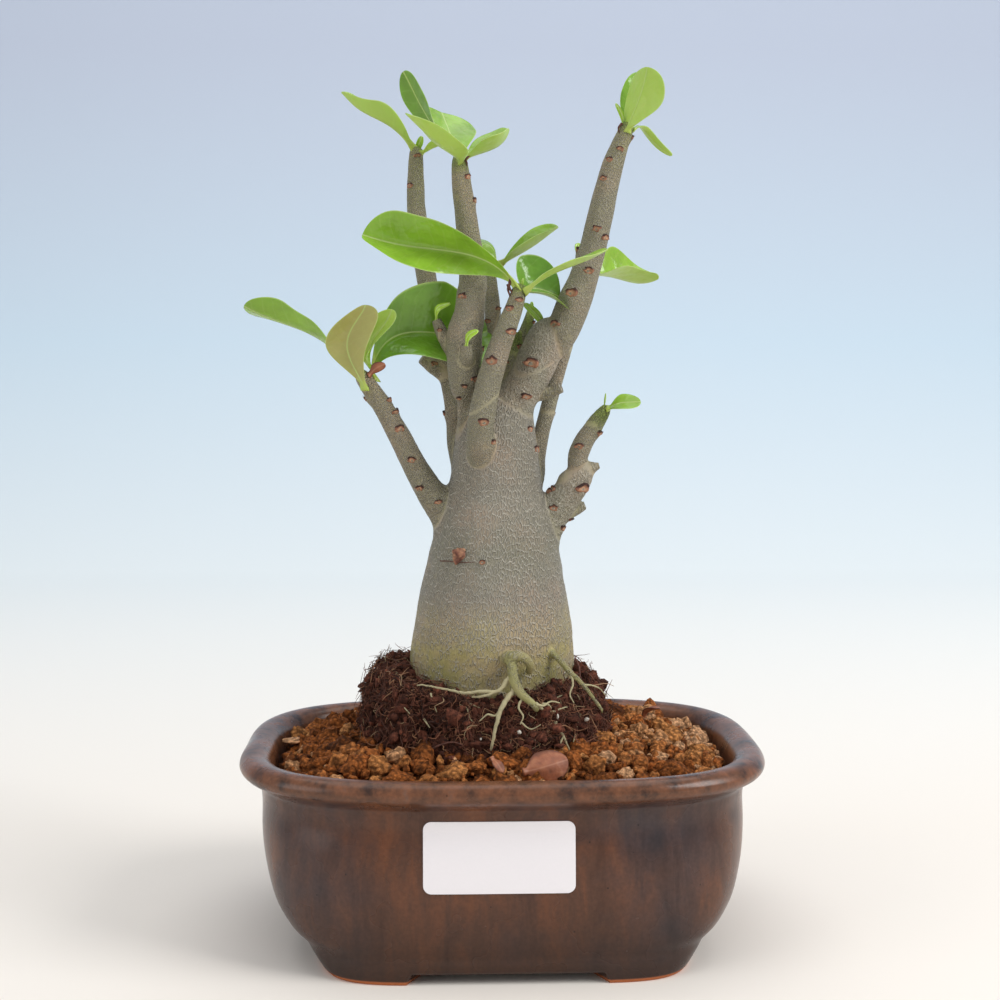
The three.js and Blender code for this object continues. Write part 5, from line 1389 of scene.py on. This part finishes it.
def make_scars(found, corners, normals):
    """Corky plates: a shield 0.6 w wide each way, deeper below than above, hollow in the middle,
    with a ragged upper rim that stands out. The rim attribute is 0.12 in the smooth middle, about
    0.4 on the lower rim and 1 on the upper rim. Two bristles stand on each rim."""
    random = np.random.default_rng(77)
    sides = 12
    centres = corners[[i for i, _ in found]]
    out = unit(normals[[i for i, _ in found]])
    width = np.array([w for _, w in found])[:, None, None] * 0.6
    side = unit(np.cross(UP, out))
    up = np.cross(out, side)
    ring = np.array([0.25, 0.6, 0.84, 1.0, 1.16])[:, None]
    turn = np.linspace(0, 2 * math.pi, sides, endpoint=False)[None, :]
    high = np.sin(turn)
    ragged = 1 + 0.17 * random.normal(0, 1, (len(found), 1, sides))
    a = ring * np.cos(turn) * ragged
    b = ring * high * np.where(high > 0, 0.6, 0.75) * ragged
    lift = (np.array([0.0, 0.06, 0.2, 0.14, -0.3])[:, None]
            + np.array([0, 0.02, 0.2, 0.16, 0])[:, None] * ease(high))
    points = (centres[:, None, None] + (width * a)[..., None] * side[:, None, None]
              + (width * b)[..., None] * up[:, None, None] + lift[None, ..., None] * out[:, None, None])
    # The plate is closed underneath by its last ring drawn inwards.
    under = (centres[:, None, None] - 0.5 * out[:, None, None]
             + (points[:, -1:] - centres[:, None, None]) * 0.4)
    points = np.concatenate([points, under], axis=1)[:, ::-1]
    plates = closed_tubes(points)
    dark = np.clip(0.12 + (0.3 + 0.6 * ease(high + 0.3)) * np.clip((ring - 0.45) / 0.35, 0, 1), 0, 1)
    rows = np.concatenate([np.full((1, sides), 0.5), dark[::-1]])
    rim = np.concatenate([rows.ravel(), [0.5, 0.12]])
    # Bristles: thin spikes 0.5 to 0.9 mm long on the upper rim.
    owner = np.repeat(np.arange(len(found)), 2)
    angle = random.uniform(0.15 * math.pi, 0.85 * math.pi, len(owner))
    w = width[owner, 0]
    foot = (centres[owner] + w * np.cos(angle)[:, None] * side[owner]
            + 0.5 * w * np.sin(angle)[:, None] * up[owner])
    way = unit(out[owner] + 0.9 * up[owner] + 0.5 * random.normal(0, 1, foot.shape))
    t = np.linspace(0, 1, 3)[None, :, None]
    paths = foot[:, None] + way[:, None] * t * random.uniform(0.5, 0.9, (len(owner), 1, 1))
    thick = np.broadcast_to(0.07 * (1 - 0.8 * t[..., 0]), paths.shape[:2])
    spikes = closed_tubes(tube_rings(paths, thick, 4, np.array([0.2, -0.7, 0.6])))
    marks = np.concatenate([np.tile(rim, len(found)), np.full(len(spikes[0]), 0.95)])
    corners_out, quads, fans = merged([plates, spikes])
    return corners_out, [quads, fans], marks


# ------------------------------------------------------------------ leaves

def leaf_grid(base, tip, width, roll, twist, bow, sweep, peak, fold, widest, blunt, rows=48,
              columns=17):
    """A blade with its stalk. With t from 0 at the foot to 1 at the end and v across from -1 to
    1: midrib = base + t (tip - base) + arch (bow up + sweep side), where arch rises as
    t^3p (1 - t)^(3 - 3p) to 1 at t = p, the peak. Half the width is sin(pi t / 2m)^1.25 up to the
    widest place m and (1 - past^blunt)^(1/2) beyond it. Up turns about the leaf by roll + twist
    (t - 1/2), and each half rises from the midrib by the fold. The blade is a lens in section,
    with a groove above the midrib and a keel below it."""
    base, tip = np.array(base, float), np.array(tip, float)
    length = np.linalg.norm(tip - base)
    along = (tip - base) / length
    t = 1 - (1 - np.linspace(0, 1, rows)[:, None]) ** 1.4
    angle = np.radians(roll + twist * (t - 0.5))
    level = unit(UP - along * along[2])
    up = level * np.cos(angle) + np.cross(along, level) * np.sin(angle)
    side = np.cross(along, up)
    past = np.clip((t - widest) / (1 - widest), 0, 1)
    rising = np.sin(0.5 * math.pi * np.clip(t / widest, 0, 1)) ** 1.25
    blade = np.where(t < widest, rising, np.sqrt(1 - past ** blunt))
    stalk = min(STALK_WIDTH, width / 2) / width * (1 + 0.35 * ease(1 - t / 0.08)) * ease((1 - t) / 0.08)
    half = np.maximum(blade, stalk) * width / 2
    v = np.sin(np.linspace(-math.pi / 2, math.pi / 2, columns))[None, :]
    round_v = np.concatenate([v, v[:, ::-1]], axis=1)
    top = np.concatenate([np.ones_like(v), -np.ones_like(v)], axis=1)
    across = round_v * half
    bulge = LEAF_THICKNESS * (1 + 2.2 * ease(1 - t / 0.14)) * np.minimum(1, half / 0.5)
    layer = top * 0.5 * bulge * np.maximum(1 - round_v ** 2, 0.0) ** 0.4
    keel = 0.34 * (1 - t) ** 0.7 * np.exp(-(across / 0.5) ** 2) * min(1, width / 6)
    layer = layer - keel * np.where(top > 0, 0.3, 1.0)
    rise = (np.sqrt(across ** 2 + 0.5) - math.sqrt(0.5)) * math.tan(math.radians(fold))
    wave = 0.25 * np.sin(t * length * 0.55 + width) * np.abs(round_v) ** 2 * np.minimum(1, half / 4)
    arch = t ** (3 * peak) * (1 - t) ** (3 - 3 * peak) / (peak ** (3 * peak) * (1 - peak) ** (3 - 3 * peak))
    points = (base + along * (t * length)[..., None] + side[:, None] * (across + sweep * arch)[..., None]
              + up[:, None] * (rise + bow * arch + layer + wave)[..., None])
    marks = {"across": across, "along": t * length + 0 * across, "edge": np.abs(round_v) + 0 * t,
             "under": (top < 0) + 0.0 * t, "stalk": ease((0.16 - t) / 0.1) + 0 * across}
    return points, marks


def make_leaf(name, spec, tone, khaki=0.0):
    """A leaf object and the marks its material reads."""
    points, marks = leaf_grid(*spec)
    corners, quads, fans = closed_tubes(points[None])
    attributes = {}
    for key, values in marks.items():
        flat = np.broadcast_to(values, points.shape[:2]).ravel()
        attributes[key] = np.concatenate([flat, flat[[0, -1]]])
    attributes["tone"] = np.full(len(corners), tone)
    attributes["khaki"] = np.full(len(corners), khaki)
    return new_object(name, corners, [quads, fans], attributes)


# ------------------------------------------------------------------ operators

class DesertRoseOperator:
    """What every operator here has in common: it can be undone."""
    bl_options = {"REGISTER", "UNDO"}


class ADENIUM_OT_pot(DesertRoseOperator, bpy.types.Operator):
    """Make the glazed pot with its lip, four feet and two drain holes"""
    bl_idname = "adenium.pot"
    bl_label = "Glazed Pot"

    def execute(self, context):
        corners, quads, fans = make_pot_body()
        pot = new_object("glazed_pot", corners, [quads, fans])
        cut_drain_holes(pot)
        pot.data.shade_smooth()
        finish_piece(pot, "glazed_stoneware", glaze_material(context.scene.desert_pot), "pot")
        return {"FINISHED"}


class ADENIUM_OT_label(DesertRoseOperator, bpy.types.Operator):
    """Stick the blank paper label on the pot's front"""
    bl_idname = "adenium.label"
    bl_label = "Blank Label"

    def execute(self, context):
        corners, quads, fans = make_label_sheet()
        label = new_object("paper_label", corners, [quads, fans], smooth=False)
        finish_piece(label, "label_paper", paper_material(context.scene.desert_pot), "label")
        return {"FINISHED"}


class ADENIUM_OT_drain_meshes(DesertRoseOperator, bpy.types.Operator):
    """Finish the plastic meshes over the drain holes"""
    bl_idname = "adenium.drain_meshes"
    bl_label = "Drain Meshes"

    def execute(self, context):
        material = mesh_material()
        for name in ("drain_mesh_left", "drain_mesh_right"):
            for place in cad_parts[name].material_slots:
                place.material = material
        return {"FINISHED"}


class ADENIUM_OT_granules(DesertRoseOperator, bpy.types.Operator):
    """Fill the pot with baked clay granules"""
    bl_idname = "adenium.granules"
    bl_label = "Clay Granules"

    def execute(self, context):
        settings = context.scene.desert_soil
        material = granule_material(settings)
        corners, quads, fans = make_filling()
        tone = np.full(len(corners), 0.15)
        filling = new_object("granule_filling", corners, [quads, fans], {"tone": tone})
        finish_piece(filling, "baked_clay", material, "gravel_bed")
        corners, quads, fans, tone = make_granules(
            settings.granules, settings.granule / MM, settings.small)
        granules = new_object("clay_granules", corners, [quads, fans], {"tone": tone})
        finish_piece(granules, "baked_clay", material)
        return {"FINISHED"}


class ADENIUM_OT_peat(DesertRoseOperator, bpy.types.Operator):
    """Make the ball of peat with its crumbs, fibres and rootlets"""
    bl_idname = "adenium.peat"
    bl_label = "Peat and Rootlets"

    def execute(self, context):
        settings = context.scene.desert_soil
        material = peat_material(settings)
        corners, quads, fans = make_peat_body()
        peat = new_object("peat_ball", corners, [quads, fans], {"tone": np.full(len(corners), 0.1)})
        finish_piece(peat, "peat", material, "root_ball")
        corners, quads, fans, tone = make_peat_crumbs(settings.crumbs, 13)
        finish_piece(new_object("peat_crumbs", corners, [quads, fans], {"tone": tone}), "peat", material)
        fibre = fibre_material(settings)
        for name, seed in (("peat_fibres", 9), ("peat_fibres_over", 10)):
            corners, quads, fans, tone = make_fibres(settings.fibres, seed)
            finish_piece(new_object(name, corners, [quads, fans], {"tone": tone}), "peat", fibre)
        corners, quads, fans = make_rootlets(ROOTLETS)
        rootlets = new_object("pale_rootlets", corners, [quads, fans], {"tone": np.full(len(corners), 1.0)})
        finish_piece(rootlets, "bark", fibre)
        return {"FINISHED"}


class ADENIUM_OT_tree(DesertRoseOperator, bpy.types.Operator):
    """Grow the swollen trunk with its limbs, stumps, roots and leaf scars"""
    bl_idname = "adenium.tree"
    bl_label = "Trunk and Limbs"

    def execute(self, context):
        settings = context.scene.desert_tree
        piece, known, scars = make_grown_body(settings.voxel)
        paint_grown_body(piece, known)
        finish_piece(piece, "bark", bark_material(settings), "caudex")
        corky = scar_material(settings)
        corners, faces, rim = make_scars(scars, known["corners"], known["normals"])
        finish_piece(new_object("leaf_scars", corners, faces, {"rim": rim}), "bark", corky)
        corners, quads, fans = make_rootlets(DARK_TWIGS)
        twigs = new_object("withered_twigs", corners, [quads, fans], {"rim": np.full(len(corners), 0.8)})
        finish_piece(twigs, "bark", corky)
        middle, sizes = (np.array(values)[None] for values in CUT_LIMB)
        corners, quads, fans = blobs(middle, sizes, 14, 22, 0.42, 95)
        rim = np.clip(0.5 + 0.45 * noise(corners / 0.8, 96), 0, 1)
        finish_piece(new_object("healed_cut", corners, [quads, fans], {"rim": rim}), "bark", corky)
        return {"FINISHED"}


class ADENIUM_OT_leaves(DesertRoseOperator, bpy.types.Operator):
    """Set every leaf on its limb"""
    bl_idname = "adenium.leaves"
    bl_label = "Leaves"

    def execute(self, context):
        green = leaf_material(context.scene.desert_leaf)
        dry = dry_material()
        for name, *spec, tone in LEAVES:
            khaki = 0.85 if name == "leaf_low_left_khaki" else 0.0
            leaf = make_leaf(name.replace("leaf", "blade") + "_visual", spec, tone, khaki)
            dead = name in DEAD_LEAVES
            finish_piece(leaf, "dry_leaf" if dead else "leaf", dry if dead else green, name)
        return {"FINISHED"}


class ADENIUM_OT_litter(DesertRoseOperator, bpy.types.Operator):
    """Lay the fallen leaf, the leaf scrap and the chip of bark on the granules"""
    bl_idname = "adenium.litter"
    bl_label = "Litter"

    def execute(self, context):
        dry = dry_material()
        leaf = make_leaf("fallen_leaf_visual", FALLEN_LEAF, 0.5)
        finish_piece(leaf, "dry_leaf", dry, "fallen_leaf")
        scrap = make_leaf("dry_scrap_visual", DRY_SCRAP, 0.5)
        finish_piece(scrap, "dry_leaf", dry, "dry_scrap")
        flake = make_leaf("tan_flake", TAN_FLAKE, 0.5)
        finish_piece(flake, "dry_leaf", dry)
        low, high = (np.array(corner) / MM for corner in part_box("bark_chip"))
        centre = ((low + high) / 2)[None]
        sizes = (high - low)[None] * np.array([0.5, 0.5, 0.22])
        corners, quads, fans = blobs(centre, sizes, 12, 24, 0.12, 91)
        chip = new_object("bark_chip_visual", corners, [quads, fans], {"tone": np.full(len(corners), 1.0)})
        finish_piece(chip, "dry_leaf", granule_material(context.scene.desert_soil), "bark_chip")
        return {"FINISHED"}


class ADENIUM_OT_stage(DesertRoseOperator, bpy.types.Operator):
    """Set the pale sweep, the soft lights and the camera"""
    bl_idname = "adenium.stage"
    bl_label = "Stage"

    def execute(self, context):
        settings = context.scene.desert_stage
        self.make_sweep(settings)
        self.make_lights(context, settings)
        self.make_camera(context)
        return {"FINISHED"}

    def make_sweep(self, settings):
        """A floor that turns up into a wall in a quarter circle: y = Y + R sin a and
        z = R (1 - cos a)."""
        radius, back, front, top, half = 500.0, 700.0, -1600.0, 1900.0, 2600.0
        bend = np.linspace(0, math.pi / 2, 24)
        y = np.concatenate([[front], back + radius * np.sin(bend), [back + radius]])
        z = np.concatenate([[0.0], radius * (1 - np.cos(bend)), [top]])
        x = np.linspace(-half, half, 3)[None, :]
        points = np.stack([x + 0 * y[:, None], y[:, None] + 0 * x, z[:, None] + 0 * x], axis=-1)
        quads = grid_quads(len(y), 3, wrap=False)
        sweep = new_object("pale_sweep", points.reshape(-1, 3), [quads])
        sweep.data.materials.append(backdrop_material(settings))

    def make_lights(self, context, settings):
        """A softbox from the upper right in front, a larger one overhead, a fill from the left and
        an even pale light from all round."""
        for name, place, size, power in (
            ("key_right", (1.12, -0.5, 0.88), 0.7, 13.5),
            ("overhead", (0.0, 0.1, 1.2), 1.2, 6.2),
            ("fill_left", (-1.2, -0.6, 0.55), 0.9, 4.4),
        ):
            lamp = bpy.data.lights.new(name, "AREA")
            lamp.size = size
            lamp.energy = power * settings.light
            light = bpy.data.objects.new(name, lamp)
            light.location = place
            aim = np.array([0.0, 0.0, 0.11]) - np.array(place)
            light.rotation_mode = "XYZ"
            light.rotation_euler = (math.atan2(math.hypot(aim[0], aim[1]), -aim[2]), 0.0,
                                    math.atan2(aim[1], aim[0]) - math.pi / 2)
            context.scene.collection.objects.link(light)
        world = bpy.data.worlds.new("soft_daylight")
        world.use_nodes = True
        world.node_tree.nodes["Background"].inputs["Color"].default_value = srgb("#eef1f5")
        world.node_tree.nodes["Background"].inputs["Strength"].default_value = 0.53 * settings.light
        context.scene.world = world
        context.scene.view_settings.view_transform = "Standard"

    def make_camera(self, context):
        """The photo's view: nearly level, a little from above, 0.42 m in front of the plant."""
        lens = bpy.data.cameras.new("camera")
        lens.sensor_width = 36.0
        lens.lens = 57.6
        lens.clip_start = 0.01
        camera = bpy.data.objects.new("camera", lens)
        camera.location = (-0.0151, -0.4213, 0.1469)
        camera.rotation_euler = (math.radians(90 - 4.58), 0.0, math.radians(-2.0))
        context.scene.collection.objects.link(camera)
        context.scene.camera = camera


class ADENIUM_PT_panel(bpy.types.Panel):
    """Lists the pieces of the potted desert rose."""
    bl_idname = "ADENIUM_PT_panel"
    bl_label = "Desert Rose"
    bl_space_type = "VIEW_3D"
    bl_region_type = "UI"
    bl_category = "Desert Rose"

    def draw(self, context):
        for operator in OPERATORS:
            self.layout.operator(operator.bl_idname)


SETTINGS = {
    "desert_pot": PotSettings,
    "desert_soil": SoilSettings,
    "desert_tree": TreeSettings,
    "desert_leaf": LeafSettings,
    "desert_stage": StageSettings,
}
OPERATORS = (
    ADENIUM_OT_stage,
    ADENIUM_OT_pot,
    ADENIUM_OT_label,
    ADENIUM_OT_drain_meshes,
    ADENIUM_OT_granules,
    ADENIUM_OT_peat,
    ADENIUM_OT_tree,
    ADENIUM_OT_leaves,
    ADENIUM_OT_litter,
)


def register():
    for name, group in SETTINGS.items():
        bpy.utils.register_class(group)
        setattr(bpy.types.Scene, name, bpy.props.PointerProperty(type=group))
    for operator in OPERATORS:
        bpy.utils.register_class(operator)
    bpy.utils.register_class(ADENIUM_PT_panel)


def unregister():
    bpy.utils.unregister_class(ADENIUM_PT_panel)
    for operator in reversed(OPERATORS):
        bpy.utils.unregister_class(operator)
    for name, group in SETTINGS.items():
        delattr(bpy.types.Scene, name)
        bpy.utils.unregister_class(group)


def main():
    register()
    for operator in OPERATORS:
        getattr(bpy.ops.adenium, operator.bl_idname.split(".")[1])()


if __name__ == "__main__":
    main()
